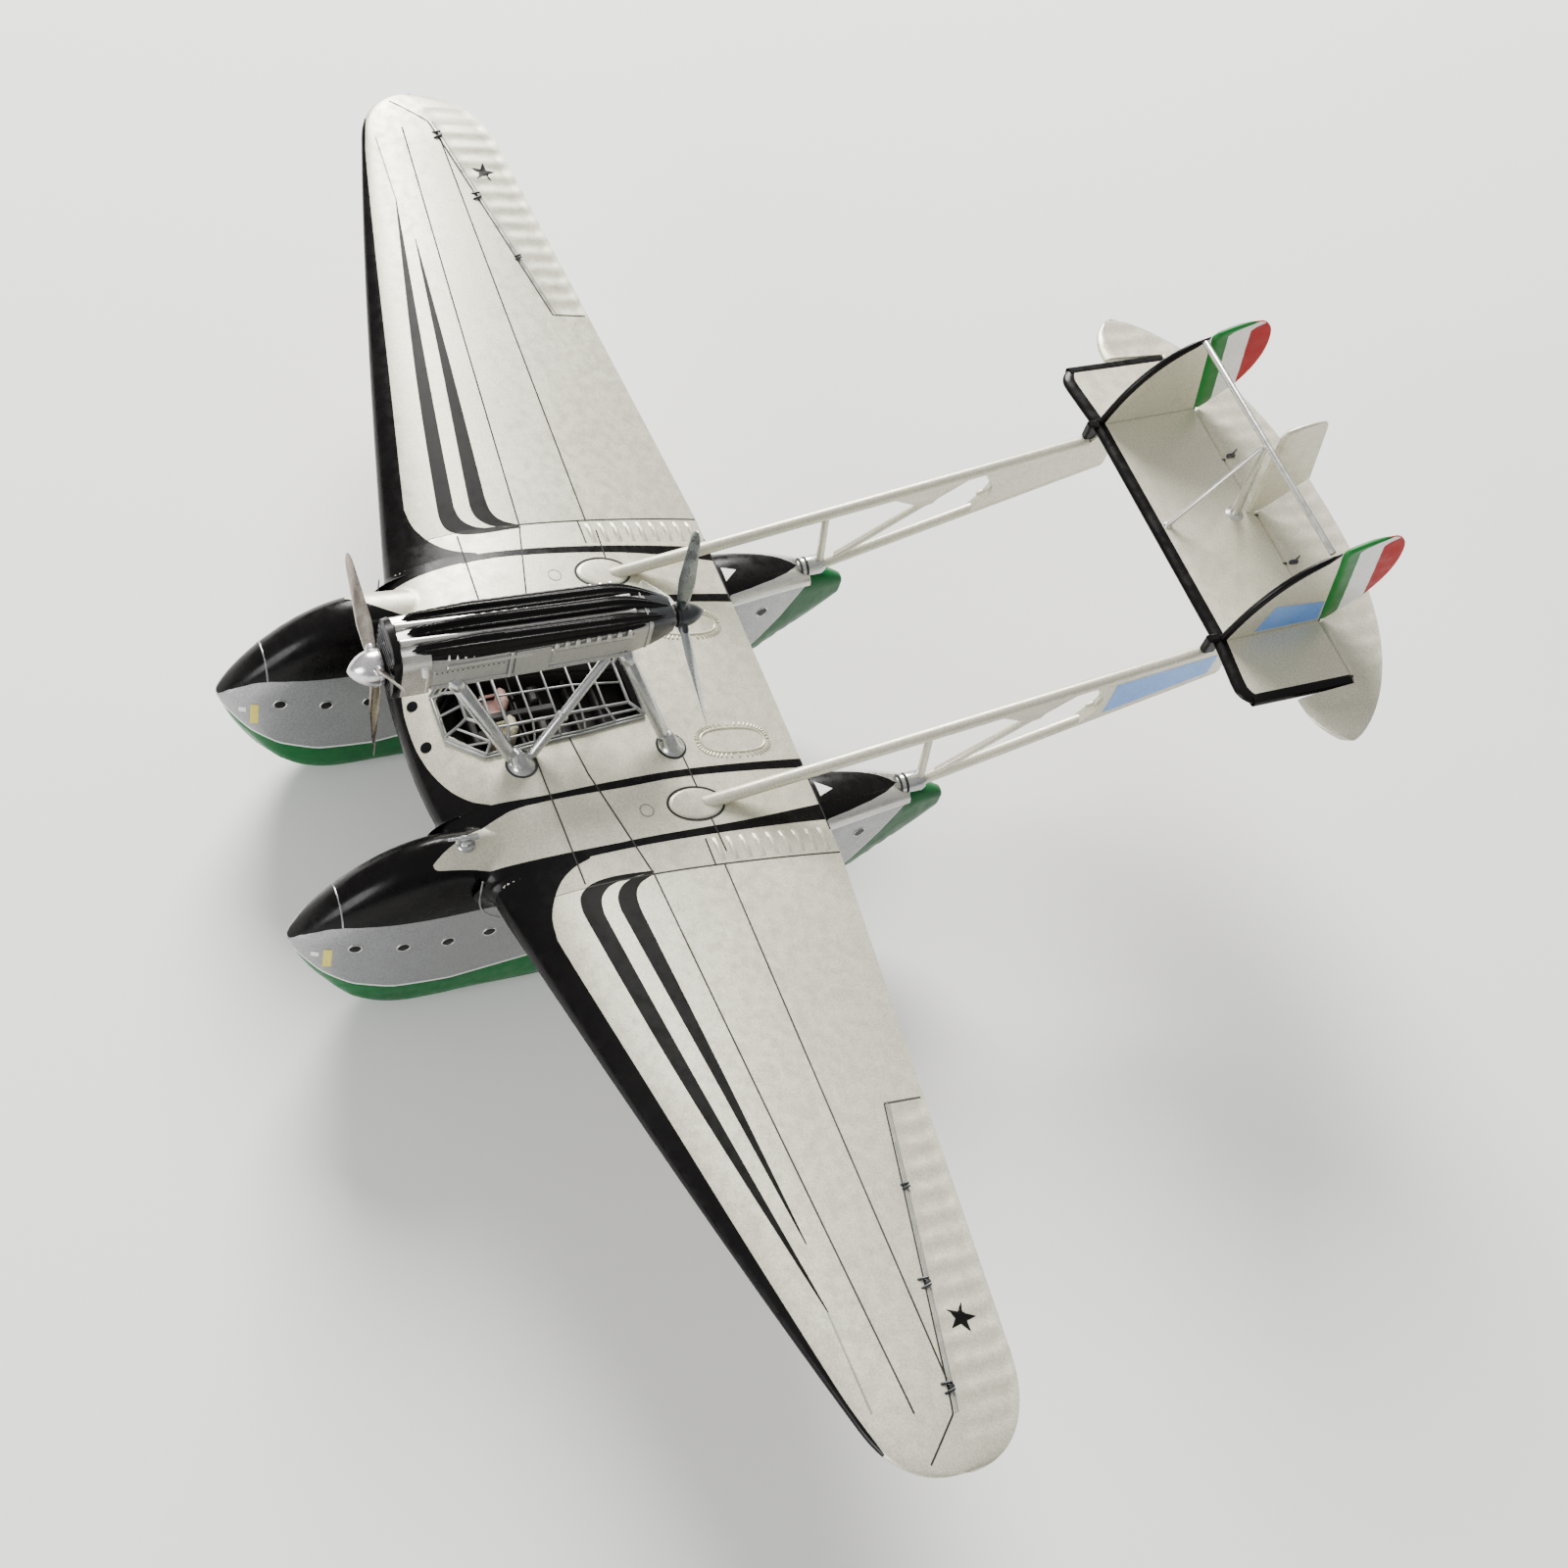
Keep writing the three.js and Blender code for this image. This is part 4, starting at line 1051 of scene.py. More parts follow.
def make_cockpit():
    tub = Skin()
    outline = cockpit_outline(0.5)
    inner = cockpit_outline(0.8)
    levels = ((outline, FLOOR_Z + 0.1), (outline, 23.6), (inner, 23.6), (inner, FLOOR_Z + 0.4))
    walls = [[Vector((x, y, z)) for x, y in points] for points, z in levels]
    tub.loft(walls)
    block(tub, (-0.35, -36.4, 21.2), (0.35, -28.5, 24.4), 0.1)
    block(tub, (-3.0, -37.6, 21.2), (3.0, -36.9, 24.6), 0.15)
    for y in (-32.5, -29.5, -26.5, -23.8):
        block(tub, (-3.6, y, 21.2), (3.6, y + 0.35, 23.2), 0.1)
    for x in (-1.9, 1.9):
        lathe(tub, (x, -36.4, 23.6), (0, 0.5, 1), [(0.2, 0), (0.75, 0.1), (0.75, 0.25), (0.2, 0.3)], 16)
        block(tub, (x - 0.9, -30.6, 21.2), (x + 0.9, -29.8, 24.4), 0.15)
    tub.make("cockpit_interior", [CABIN], "cabin_paint", ["cockpit_tub"])
    for (name, side), colour in zip(SIDES.items(), (CREAM_SEAT, PINK_SEAT)):
        skin = Skin()
        x = side * 1.7
        block(skin, (x - 1.05, -35.7, 21.5), (x + 1.05, -33.5, 23.4), 0.3)
        block(skin, (x - 1.05, -33.9, 21.5), (x + 1.05, -33.0, 25.4), 0.35)
        for k in (-1, 1):
            rod(skin, (x + k * 1.05, -35.4, 23.8), (x + k * 1.05, -33.4, 24.0), 0.16, sides=10)
        skin.make(f"{name}_seat_padding", [colour], "seat_paint", [f"{name}_seat"])


def canopy_stations():
    """Rim and top points of the canopy at every frame."""
    rim, top = [], []
    for k, count in enumerate((1, 1, 3, 2)):
        for step in range(count):
            part = step / count
            (x0, y0), (x1, y1) = CANOPY_RIM[k], CANOPY_RIM[k + 1]
            rim.append((x0 + (x1 - x0) * part, y0 + (y1 - y0) * part))
            (u0, v0), (u1, v1) = CANOPY_TOP[k], CANOPY_TOP[k + 1]
            z = CANOPY_TOP_Z[k] + (CANOPY_TOP_Z[k + 1] - CANOPY_TOP_Z[k]) * part
            top.append(Vector((u0 + (u1 - u0) * part, v0 + (v1 - v0) * part, z)))
    rim.append(CANOPY_RIM[-1])
    top.append(Vector((*CANOPY_TOP[-1], CANOPY_TOP_Z[-1])))
    return [on_wing(x, turn_at(x, y), 0.3) for x, y in rim], top


def make_canopy():
    skin = Skin()
    rim, top = canopy_stations()
    shoulder = [a.lerp(b, 0.5) + Vector((0.15, 0, 0.12)) for a, b in zip(rim, top)]

    def bars(a, b, radius):
        for way in (1, -1):
            rod(skin, (way * a.x, a.y, a.z), (way * b.x, b.y, b.z), radius, sides=10)

    def cross(point, radius):
        rod(skin, point, (-point.x, point.y, point.z + 0.001), radius, sides=10)

    last = len(rim) - 1
    for k in range(len(rim)):
        heavy = 0.18 if k in (0, 1, 2, last) else 0.13
        bars(rim[k], shoulder[k], heavy)
        bars(shoulder[k], top[k], heavy)
        cross(top[k], heavy)
        if k < last:
            outer = [rim[j] + Vector((0.28, -0.1, -0.12)) for j in (k, k + 1)]
            bars(rim[k], rim[k + 1], 0.15)
            bars(outer[0], outer[1], 0.15)
            bars(shoulder[k], shoulder[k + 1], 0.12)
            bars(top[k], top[k + 1], 0.17)
        if 1 < k < last:
            middle = [Vector((0, top[j].y, top[j].z + 0.03)) for j in (k, k + 1)]
            rod(skin, middle[0], middle[1], 0.12, sides=10)
    cross(rim[0], 0.17)
    cross(rim[last], 0.17)
    rod(skin, (0, rim[0].y, rim[0].z), (0, top[0].y, top[0].z), 0.15, sides=10)
    rod(skin, (0, top[0].y, top[0].z), (0, top[1].y, top[1].z), 0.13, sides=10)
    bars(rim[0].lerp(rim[1], 0.5), shoulder[1], 0.13)
    skin.make("canopy_lattice", [LATTICE], "silver_paint", ["canopy_frame"])


def make_nose_ports():
    skin = Skin()
    for way in (1, -1):
        x = way * 2.5
        turn = turn_at(x, -42.5)
        profile = [(0.6, -0.1), (0.6, 0.03), (0.4, 0.06), (0.01, 0.07)]
        lathe(skin, on_wing(x, turn, 0.0), wing_normal(x, turn), profile)
    skin.make("leading_edge_ports", [GLASS], "gloss_black")


# ---------------------------------------------------------------- nacelle


def nacelle_scale(y):
    return 1 - 0.52 * clamp((y + 25.5) / 7.4) ** 2.2


NACELLE_SIDE = [(0, 34.75), (1.5, 34.8), (2.3, 35.0), (2.8, 35.4), (2.92, 36.0), (2.92, 38.6)]
NACELLE_SIDE += [(2.86, 39.2), (2.6, 39.55), (2.0, 39.7), (1.0, 39.75), (0, 39.8)]


def nacelle_ring(y, shrink=1.0):
    scale = nacelle_scale(y) * shrink
    right = [Vector((x * scale, y, THRUST_Z + (z - THRUST_Z) * scale)) for x, z in NACELLE_SIDE]
    left = [Vector((-point.x, point.y, point.z)) for point in right[-2:0:-1]]
    return right + left


def bank_cover(skin, x, top_z):
    """A ridged black cover over one row of cylinders, pointed in front and drawn down behind."""
    front, rear = -45.3, -18.4
    foot = 39.3
    rings = []
    steps = 96
    sides = 26
    for k in range(steps + 1):
        part = k / steps
        y = front + (rear - front) * part
        grow = min(1.0, 0.6 + 1.6 * part)
        width = min(1.0, (0.02 + part / 0.05) ** 0.5) * grow * (1 - 0.7 * clamp((part - 0.75) / 0.25) ** 2)
        scale = nacelle_scale(y)
        lobe = 1 + 0.04 * math.cos(TURN * (y - front) / 1.05)
        high = (top_z - 1.7 * part - foot) * width**0.5
        ring = []
        for j in range(sides + 1):
            angle = math.pi * j / sides
            ridge = 1 + 0.09 * math.cos(8 * angle)
            radius = 0.97 * width * ridge * (lobe if 0.25 < angle / math.pi < 0.75 else 1)
            point_z = foot + high * ridge * max(0, math.sin(angle)) ** 0.75
            point_x = x + radius * math.cos(angle)
            ring.append(Vector((point_x * scale, y, THRUST_Z + (point_z - THRUST_Z) * scale)))
        rings.append(ring)
    skin.loft(rings)


def make_nacelle():
    body = Skin()
    ys = [-43.3 + k * 0.6 for k in range(30)] + [-25.4 + k * 0.4 for k in range(19)]
    rings = [nacelle_ring(y) for y in ys] + [nacelle_ring(-18.05, 0.8)]
    dark_from = len([y for y in ys if y < -21.2])
    body.loft(rings, lambda i, j: 1 if i >= dark_from else 0)
    for y, size in ((-25.6, 1.02), (-23.9, 1.02), (-21.4, 1.03)):
        steps = ((-0.12, 1.0), (-0.1, size), (0.1, size), (0.12, 1.0))
        body.loft([nacelle_ring(y + shift, grow) for shift, grow in steps])
    for way in (1, -1):
        side_panels(body, way)
        rod(body, (way * 0.95, -46.0, 40.75), (way * 0.9, -22.5, 39.5), 0.42, 0.36, sides=14, look=2)
    body.make(
        "nacelle_shell", [ENGINE, GUNMETAL, BRIGHT_SILVER], "engine_silver", ["crankcase"], sharp=30,
    )
    for name, x, top_z in (("port", 1.85, 41.5), ("centre", 0.0, 41.9), ("starboard", -1.85, 41.5)):
        cover = Skin()
        bank_cover(cover, x, top_z)
        cover.make(
            f"{name}_cylinder_cover", [BLACK], "gloss_black", [f"{name}_cylinder_bank"], sharp=60,
        )
    for name, side in SIDES.items():
        for row, start in (("front", -41.8), ("rear", -31.6)):
            stubs = Skin()
            exhaust_row(stubs, side, start, row == "rear")
            stubs.make(
                f"{name}_{row}_stubs", [BRIGHT_SILVER], "engine_silver", [f"{name}_{row}_exhausts"],
            )


def side_panels(skin, way):
    """Raised panels, rivet rows and the bright teeth under each black cover."""
    def slab(y0, y1, z0, z1, out):
        low = (min(way * 2.6, way * out), y0, z0)
        high = (max(way * 2.6, way * out), y1, z1)
        block(skin, low, high, 0.09)

    slab(-43.0, -35.7, 36.3, 38.2, 3.0)
    slab(-35.6, -35.2, 35.4, 39.3, 3.14)
    slab(-35.1, -31.5, 35.6, 39.1, 3.05)
    slab(-31.3, -23.6, 36.4, 38.2, 3.0)
    slab(-43.1, -23.4, 35.3, 35.9, 3.02)
    for k in range(36):
        dome(skin, (way * 3.02, -42.8 + k * 0.53, 35.6), (way, 0, 0), 0.12)
    for k in range(14):
        dome(skin, (way * 3.0, -42.7 + k * 0.5, 37.9), (way, 0, 0), 0.1, 1)
    for k in range(13):
        y = -41.6 + k * 0.8
        rod(skin, (way * 2.75, y, 39.35), (way * 2.5, y, 39.95), 0.16, 0.1, sides=8, look=2)


def exhaust_row(skin, side, start, tall):
    """A thin rail with eight short stubs. The rear row stands taller."""
    near, far = side * 2.8, side * 3.15
    block(skin, (min(near, far), start, 38.4), (max(near, far), start + 8.4, 38.8), 0.08)
    for k in range(8):
        y = start + 0.5 + k * 1.05
        if tall:
            rod(skin, (side * 2.98, y, 38.6), (side * 3.02, y, 39.45), 0.27, 0.22, sides=12)
        else:
            dome(skin, (side * 3.1, y, 38.62), (side, 0, 0), 0.15)


def make_radiator():
    """Black face plate and, behind it, the lower tank that the covers' noses lie on."""
    skin = Skin()
    low = [(0, 33.9), (1.5, 33.95), (2.5, 34.3), (2.95, 35.0), (3.05, 36.5)]
    plate = low + [(3.0, 39.0), (2.65, 40.3), (1.7, 41.2), (0, 41.5)]
    tank = low + [(3.05, 38.9), (2.9, 39.8), (2.3, 40.5), (0, 40.8)]

    def ring(half, y, scale):
        right = [Vector((x * scale, y, 37.4 + (z - 37.4) * scale)) for x, z in half]
        return right + [Vector((-p.x, p.y, p.z)) for p in right[-2:0:-1]]

    shape = [(plate, -46.9, 0.9), (plate, -46.8, 0.97), (plate, -46.2, 1.0), (plate, -46.1, 0.985)]
    shape += [(tank, -46.05, 0.99), (tank, -44.6, 1.0), (tank, -43.3, 1.0)]

    def look(i, j):
        if i < 4:
            return 1
        return 4 if 5 <= j <= 10 else 0

    skin.loft([ring(*step) for step in shape], look)
    for k in range(9):
        z = 34.8 + k * 0.7
        reach = 2.3 if 0 < k < 8 else 1.6
        rod(skin, (-reach, -46.93, z), (reach, -46.93, z), 0.06, sides=6, look=2)
    for way in (1, -1):
        rod(skin, (way * 3.02, -43.8, 37.9), (way * 3.0, -44.0, 39.3), 0.34, sides=14, look=3)
        near, far = way * 2.8, way * 3.14
        block(skin, (min(near, far), -43.7, 35.2), (max(near, far), -43.3, 37.6), 0.08)
        for y in (-45.6, -44.2):
            dome(skin, (way * 3.05, y, 38.2), (way, 0, 0), 0.1)
    skin.make(
        "radiator_shell", [TANK, BLACK, GUNMETAL, WHITE, BRIGHT_SILVER], "silver_paint",
        ["radiator"],
    )


# ---------------------------------------------------------------- propellers


def blade(skin, angle, y, look):
    """One blade, coarse at the root and fine at the rounded tip."""
    rings = []
    for k in range(29):
        s = 0.05 + 0.949 * k / 28
        taper = 0.5 + 1.1 * s if s < 0.4 else 0.94 - 0.5 * (s - 0.4)
        wide = taper * round_off((s - 0.88) / 0.122, 2.4)
        pitch = math.radians(70 - 48 * s)
        thick = 0.45 * (1.3 - s) * max(0.25, wide) ** 0.5
        ring = []
        for j in range(20):
            around = TURN * j / 20
            a = 0.9 * wide * math.cos(around)
            b = thick / 2 * math.sin(around) * (1.25 if math.sin(around) > 0 else 0.6)
            out = PROPELLER_RADIUS * s
            back = b * math.cos(pitch) - a * math.sin(pitch)
            over = a * math.cos(pitch) + b * math.sin(pitch)
            x = out * math.cos(angle) - over * math.sin(angle)
            z = out * math.sin(angle) + over * math.cos(angle)
            ring.append(Vector((x, y + back, THRUST_Z + z)))
        rings.append(ring)
    skin.loft(rings, look)


def make_propeller(name, y, first_angle, facing, length, radius, looks):
    skin = Skin()
    hub = Vector((0, y, THRUST_Z))
    profile = [(0.45, -0.6), (radius * 0.9, -0.6), (radius * 0.98, -0.5)]
    profile += [(radius * (1 - (k / 22) ** 2.2) ** 0.8, length * k / 22) for k in range(23)]
    lathe(skin, hub, (0, facing, 0), profile, 40, 0)
    ring = [(radius * 0.9, -0.3), (radius * 1.03, -0.25), (radius * 1.03, -0.1), (radius * 0.9, -0.05)]
    lathe(skin, hub, (0, facing, 0), ring, 40, 0)
    for k in range(3):
        angle = math.radians(first_angle + 120 * k)
        blade(skin, angle, y, 1)
        direction = Vector((math.cos(angle), 0, math.sin(angle)))
        root = [(0.5, 0), (0.55, 0.3), (0.5, 0.9), (0.36, 1.2)]
        lathe(skin, hub + direction * radius * 0.6, direction, root, 20, 0)
    skin.make(f"{name}_blades", looks, "propeller_silver", [name], body=name, sharp=50)


# ---------------------------------------------------------------- struts


def flared_foot(skin, base, axis, radius):
    """A foot that starts square on the wing and bends over to the strut's own direction."""
    rings = []
    for part, size in (
        (-0.2, 1.4), (0, 1.4), (0.08, 1.25), (0.2, 1.04), (0.4, 0.9), (0.7, 0.8), (1.1, radius),
    ):
        lean = clamp(part / 1.1)
        normal = UP.lerp(axis, lean).normalized()
        first, second = across(normal)
        middle = base + (UP * (1 - lean) + axis * lean) * 1.5 * part
        rings.append([middle + ring_offset(first, second, size, k / 32) for k in range(32)])
    skin.loft(rings)


def make_struts():
    front_foot, rear_foot = Vector((7.4, -34.4, 25.7)), Vector((7.75, -18.6, 24.6))
    front_top, rear_top = Vector((2.5, -40.7, 35.6)), Vector((2.5, -23.4, 34.9))
    diagonal_top = Vector((2.5, -25.2, 34.9))
    for name, side in SIDES.items():
        legs = (("front", front_foot, front_top, 0.74), ("rear", rear_foot, rear_top, 0.7))
        for leg, foot, top, radius in legs:
            skin = Skin()
            low, high = mirror(foot, side), mirror(top, side)
            axis = (high - low).normalized()
            rod(skin, low, high + axis * 0.3, radius, radius, sides=28)
            flared_foot(skin, on_top(low.x, low.y, 0.0), axis, radius)
            sleeve = [(0.6, -1.3), (radius + 0.1, -0.8), (radius + 0.16, 0.0), (radius, 0.5)]
            lathe(skin, high, axis, sleeve, 24)
            skin.make(f"{name}_{leg}_strut", [STRUT], "silver_paint", [f"{name}_{leg}_leg"])
            ring = Skin()
            loop = loop_points((abs(low.x), low.y), 1.5, 1.5, 40)
            thin_line(ring, loop + loop[:1], width=0.26, side=side, pitch=0.25)
            ring.make(f"{name}_{leg}_foot_line", [SEAM], "gloss_black", solid=False)
        skin = Skin()
        low, high = mirror(front_foot, side), mirror(diagonal_top, side)
        rod(skin, low, high, 0.52, 0.48, sides=24)
        clamp_ring = [(0.5, -0.25), (0.64, -0.15), (0.64, 0.15), (0.5, 0.25)]
        lathe(skin, low.lerp(high, 0.48), high - low, clamp_ring, 20)
        skin.make(f"{name}_diagonal_brace", [STRUT], "silver_paint", [f"{name}_diagonal_strut"])


def mirror(point, side):
    return Vector((side * point[0], point[1], point[2]))


# ---------------------------------------------------------------- booms


UPPER = (Vector((0, -17.6, 24.5)), Vector((0, 37.0, 35.0)))
LOWER = (Vector((0, 8.3, 20.3)), Vector((0, 40.0, 31.2)))
BRACE = (Vector((0, 9.5, 21.4)), Vector((0, 23.2, 32.0)))


def height_on(line, y):
    a, b = line
    return a.z + (b.z - a.z) * (y - a.y) / (b.y - a.y)


def side_plate(skin, outline, x, half, look=0, rim=0.12):
    """A flat plate in the y-z plane with rounded edges."""
    centre = sum((Vector(point) for point in outline), Vector((0, 0))) / len(outline)
    rings = []
    for across_x, inset in (
        (-half, rim), (-half + rim * 0.4, rim * 0.3), (0, 0), (half - rim * 0.4, rim * 0.3),
        (half, rim),
    ):
        ring = []
        for point in outline:
            flat = Vector(point)
            reach = (flat - centre).length
            flat = centre + (flat - centre) * (1 - inset / max(reach, 0.5))
            ring.append(Vector((x + across_x, flat.x, flat.y)))
        rings.append(ring)
    skin.loft(rings, look)


def make_booms():
    for name, side in SIDES.items():
        at = Vector((side * HULL_X, 0, 0))
        upper = Skin()
        rod(upper, UPPER[0] + at, UPPER[1] + at, 0.7, 0.68, sides=28)
        upper.make(f"{name}_upper_boom_tube", [SILVER], "silver_paint", [f"{name}_upper_boom"])
        lower = Skin()
        rod(lower, LOWER[0] + at, LOWER[1] + at, 0.64, 0.6, sides=24)
        lower.make(f"{name}_lower_boom_tube", [SILVER], "silver_paint", [f"{name}_lower_boom"])
        post = Skin()
        rod(post, at + Vector((0, 7.9, 20.2)), at + Vector((0, 6.6, 29.0)), 0.46, 0.4, sides=20)
        post.make(f"{name}_boom_post_tube", [SILVER], "silver_paint", [f"{name}_boom_post"])
        brace = Skin()
        rod(brace, BRACE[0] + at, BRACE[1] + at, 0.42, 0.42, sides=20)
        gusset = [
            (13.5, height_on(UPPER, 13.5)), (22.5, height_on(UPPER, 22.5)),
            (22.3, height_on(UPPER, 22.3) - 1.0),
        ]
        gusset += [
            (20.6, height_on(BRACE, 20.6) + 0.4), (19.4, height_on(BRACE, 19.4) - 0.6),
            (18.2, height_on(BRACE, 18.2)),
        ]
        side_plate(brace, gusset, at.x, 0.42)
        brace.make(f"{name}_boom_brace_plate", [SILVER], "silver_paint", [f"{name}_boom_brace"])
        make_web(name, side)


def make_web(name, side):
    x = side * HULL_X
    top_z = TAIL_Z - 0.45
    outline = [
        (25.3, height_on(UPPER, 25.3)), (31, height_on(UPPER, 31)), (37.0, 35.2), (38.0, top_z),
        (40.2, top_z),
    ]
    outline += [
        (40.2, height_on(LOWER, 40)), (33, height_on(LOWER, 33)), (26.4, height_on(LOWER, 26.4)),
        (24.6, height_on(LOWER, 24.6) + 0.2),
    ]
    for k in range(1, 8):
        angle = -0.5 * math.pi + math.pi * k / 8
        middle = (height_on(UPPER, 25.3) + height_on(LOWER, 24.6)) / 2
        outline.append((25.0 + 1.5 * math.cos(angle), middle + 2.0 * math.sin(angle)))
    skin = Skin()
    side_plate(skin, outline, x, 0.55)
    turns = [-1.5 + 0.6 * k for k in range(6)]
    lip = [Vector((x, 25.0 + 1.5 * math.cos(a), 30.3 + 1.9 * math.sin(a))) for a in turns]
    for a, b in zip(lip, lip[1:]):
        rod(skin, a, b, 0.3, sides=12)
    skin.make(f"{name}_boom_web_plate", [SILVER], "silver_paint", [f"{name}_boom_web"])
    cap = Skin()
    block(cap, (x - 0.5 + side * 0.2, 36.2, 35.4), (x + 0.5 + side * 0.2, 37.7, 37.65), 0.2)
    cap.make(f"{name}_boom_cap", [BLACK], "gloss_black")
    if side > 0:
        band = Skin()
        rows = []
        for k in range(13):
            y = 27.2 + k * 0.95
            low, high = height_on(LOWER, y) + 0.65, height_on(UPPER, y) - 0.75
            rows.append([Vector((x + 0.57, y, low + (high - low) * j / 3)) for j in range(4)])
        band.grid(rows, toward=Vector((1, 0, 0)))
        band.make("port_web_blue_band", [BLUE], "silver_paint", solid=False)


# ---------------------------------------------------------------- tail


def tail_nose(x):
    """y of the tailplane's leading edge."""
    x = abs(x)
    if x < FIN_X:
        return 37.0
    if x < STUB_X - 2.4:
        return 37.0 - 0.7 * (x - FIN_X) / (STUB_X - 2.4 - FIN_X)
    return 36.3 + 2.4 * (1 - math.sqrt(1 - ((x - STUB_X + 2.4) / 2.42) ** 2))


def elevator_tail(x):
    return 46.4 + 12.8 * (1 - min(1, abs(x) / 29.8) ** 2.5) ** 0.741


def elevator_nose(x):
    x = abs(x)
    if x < STUB_X + 0.2:
        return HINGE_Y + 0.12
    reach = clamp((x - STUB_X - 0.2) / (29.8 - STUB_X - 0.2))
    return 46.5 - 3.8 * (1 - reach**2.4) ** 0.625


def make_tailplane():
    skin = Skin()
    xs = [k * 0.6 for k in range(35)] + [21.0 + 2.4 * math.sin(math.pi / 2 * k / 10) for k in range(1, 11)]
    xs = [-x for x in reversed(xs[1:])] + xs
    depths = [0, 0.04, 0.15, 0.4, 0.8, 1.3]
    rings = []
    for x in xs:
        front = tail_nose(x)
        ys = [front + depth for depth in depths]
        ys += [front + 1.3 + (HINGE_Y - front - 1.3) * k / 8 for k in range(1, 9)]
        edge = clamp((STUB_X - abs(x)) / 0.5) ** 0.5
        top = [Vector((x, y, TAIL_Z + tail_half(y - front) * max(edge, 0.15))) for y in ys]
        low = [Vector((x, y, TAIL_Z - tail_half(y - front) * max(edge, 0.15))) for y in ys]
        rings.append(top + low[:0:-1])
    black = len(depths) - 1
    count = len(rings[0])

    def look(i, j):
        return int(j < black or j >= count - black)

    skin.loft(rings, look)
    skin.make("tailplane_skin", [SILVER, BLACK], "silver_paint", ["tailplane"], sharp=50)
    edge = Skin()
    for side in (1, -1):
        rows = []
        for k in range(26):
            y = 37.6 + (HINGE_Y - 37.6) * k / 25
            rows.append([Vector((side * x, y, TAIL_Z + z)) for x, z in TIP_STRIPE])
        edge.grid(rows, toward=UP)
    edge.make("tailplane_tip_stripes", [BLACK], "gloss_black", solid=False)


TIP_STRIPE = [(STUB_X - 1.0, 0.50), (STUB_X - 0.5, 0.51), (STUB_X - 0.1, 0.4), (STUB_X + 0.06, 0.15)]
TIP_STRIPE += [
    (STUB_X + 0.06, -0.15), (STUB_X - 0.1, -0.4), (STUB_X - 0.5, -0.51), (STUB_X - 1.0, -0.50),
]


def tail_half(depth):
    return 0.48 * math.sqrt(clamp(1 - (1 - min(depth, 1.3) / 1.3) ** 2.2))


def make_elevator():
    skin = Skin()
    xs = [k * 0.45 for k in range(64)] + [28.8 + 0.99 * math.sin(math.pi / 2 * k / 8) for k in range(1, 9)]
    xs = [-x for x in reversed(xs[1:])] + xs
    rings = []
    steps = 16
    for x in xs:
        front, rear = elevator_nose(x), elevator_tail(x)
        rear = max(rear, front + 0.02)
        top, low = [], []
        for k in range(steps + 1):
            t = (1 - math.cos(math.pi * k / steps)) / 2
            fullness = math.sqrt(clamp(t / 0.08)) if t < 0.08 else 1 - 0.8 * (t - 0.08)
            half = 0.42 * min(1, (rear - front) / 3) * fullness
            rib = 0.10 * math.sin(math.pi * x / 2.4) ** 2 * clamp(t / 0.15) * clamp((1 - t) / 0.1)
            y = front + (rear - front) * t
            top.append(Vector((x, y, TAIL_Z + half - rib)))
            low.append(Vector((x, y, TAIL_Z - half + rib)))
        rings.append(top + low[-1:0:-1])
    skin.loft(rings)
    skin.make("elevator_skin", [SILVER], "silver_paint", ["elevator"], sharp=50)
    details = Skin()
    for way in (1, -1):
        base = Vector((way * 7.6, 51.0, TAIL_Z + 0.4))
        block(details, base + Vector((-0.35, -0.5, -0.2)), base + Vector((0.1, 0.5, 0.35)), 0.08)
        rod(details, base + Vector((-0.1, 0, 0)), base + Vector((-0.1, 0.3, 1.2)), 0.16, 0.08, sides=10)
        for x in (STUB_X - 0.8, 15.1, 7.4, 0.6):
            rod(
                details, (way * x, HINGE_Y - 0.15, TAIL_Z + 0.4),
                (way * x, HINGE_Y + 0.35, TAIL_Z + 0.4), 0.14, sides=8,
            )
    details.make("elevator_horns", [GUNMETAL], "engine_silver")


def bend(a, control, b, t):
    """A point on a curve with one control point."""
    return Vector(a) * (1 - t) ** 2 + Vector(control) * 2 * t * (1 - t) + Vector(b) * t**2


def upright(skin, x, front, rear, half, cuts, ribs=0.0, steps=30):
    """An upright surface between two edge curves in the y-z plane.

    cuts holds the distance behind the front edge where each look ends, and its number of faces.
    """
    looks = []
    for look, (_, count) in enumerate(cuts):
        looks += [look] * count
    rings = []
    for k in range(steps + 1):
        s = k / steps
        a, b = front(s), rear(s)
        chord = max((b - a).length, 0.01)
        close = min(1.0, chord / 2.5)
        shares = [0.0]
        for end, count in cuts:
            start, stop = shares[-1], min(1.0, end / chord)
            shares += [start + (stop - start) * k / count for k in range(1, count + 1)]
        right = []
        left = []
        for share in shares:
            place = a.lerp(b, share)
            nose = math.sqrt(clamp(1 - (1 - clamp(share * chord / 0.8)) ** 2))
            tail = 1 - 0.7 * share
            dent = ribs * math.sin(math.pi * s * 7) ** 2 * clamp(share / 0.1) * clamp((1 - share) / 0.1)
            thick = max(0.03, half * nose * tail * close - dent)
            right.append(Vector((x + thick, place.x, place.y)))
            left.append(Vector((x - thick, place.x, place.y)))
        rings.append(right + left[::-1])
    count = len(looks) + 1

    def look_of(_, j):
        if j == count - 1:
            return looks[-1]
        if j < count:
            return looks[min(j, len(looks) - 1)]
        return looks[clamp(2 * count - 2 - j, 0, len(looks) - 1)]

    skin.loft(rings, look_of)


FIN_FOOT = 37.55
FULL_CHORD = 100.0


def fin_front(s):
    return bend((37.6, FIN_FOOT), (40.0, 46.6), (47.1, 49.15), s)


def hinge_line(s):
    return Vector((49.85, FIN_FOOT)).lerp(Vector((47.2, 49.2)), s)


